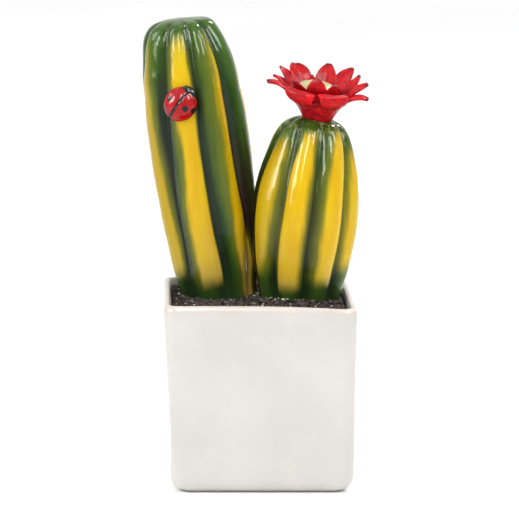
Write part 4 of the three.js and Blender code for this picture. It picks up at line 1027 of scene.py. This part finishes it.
# ------------------------------------------------------------------- stage
def build_stage():
    n, size = 40, 6000.0
    k = np.linspace(-1, 1, n)
    k = np.sign(k) * np.abs(k) ** 1.6 * size
    x, y = np.meshgrid(k, k, indexing="xy")
    verts = np.stack([x, y, 0 * x - 0.05], -1).reshape(-1, 3)
    floor = new_object("studio_floor", verts, ring_faces(n, n, 0, closed=False))
    s = Shader("floor_pale")
    c = s.noise(300.0, 2.0)
    mat = s.set(color=s.mix(s.ramp(c, 0.3, 0.7), "fbfbfb", "f8f8f8"), rough=0.7)
    floor.data.materials.append(mat)

    def lamp(name, az, el, size, radiance, distance=1.4, target=(0, 0, 0.13), colour=(1, 1, 1), glint=False):
        """softbox seen from the object at this azimuth (0 in front, 90 on the right) and height"""
        a, e = math.radians(az), math.radians(el)
        t = Vector(target)
        pos = t + distance * Vector((math.sin(a) * math.cos(e), -math.cos(a) * math.cos(e), math.sin(e)))
        li = bpy.data.lights.new(name, "AREA")
        li.shape = "RECTANGLE"
        li.size, li.size_y = size
        li.energy = radiance * math.pi * size[0] * size[1]
        li.color = colour
        ob = bpy.data.objects.new(name, li)
        ob.matrix_world = Matrix.Translation(pos) @ (t - pos).to_track_quat("-Z", "Y").to_matrix().to_4x4()
        ob.visible_diffuse = not glint
        bpy.context.scene.collection.objects.link(ob)

    lamp("strip_key", -14, 45, (0.008, 1.4), 100, 1.3)
    lamp("strip_key_right", 26, 50, (0.008, 1.2), 90, 1.3)
    lamp("strip_left", -78, 36, (0.011, 0.9), 80)
    lamp("strip_left_back", -112, 40, (0.011, 0.9), 80)
    lamp("strip_right", 84, 40, (0.010, 0.6), 80)
    lamp("strip_back", 142, 44, (0.10, 0.34), 60)
    # softboxes that only show as highlights in the glaze
    lamp("glint_left", -63, 25, (0.34, 0.60), 26, glint=True)
    lamp("glint_left_back", -99, 30, (0.34, 0.56), 10, glint=True)
    lamp("glint_left_low", -74, 11, (0.44, 0.40), 9, glint=True)
    lamp("glint_front", -9, 39, (0.28, 0.82), 22, glint=True)
    lamp("glint_front_right", 42, 38, (0.30, 0.62), 24, glint=True)
    lamp("glint_right", 80, 43, (0.36, 0.66), 17, colour=(0.92, 0.97, 1.0), glint=True)
    sun = bpy.data.lights.new("ceiling", "SUN")
    sun.energy, sun.angle = 0.62, math.radians(80)
    ob = bpy.data.objects.new("ceiling", sun)
    ob.rotation_euler = (math.radians(14), math.radians(-6), 0)
    bpy.context.scene.collection.objects.link(ob)
    world = bpy.data.worlds.new("studio")
    world.use_nodes = True
    bg = world.node_tree.nodes["Background"]
    bg.inputs["Color"].default_value = (1, 1, 1, 1)
    bg.inputs["Strength"].default_value = 0.84
    bpy.context.scene.world = world
    bpy.context.scene.view_settings.view_transform = "Standard"


build_stage()
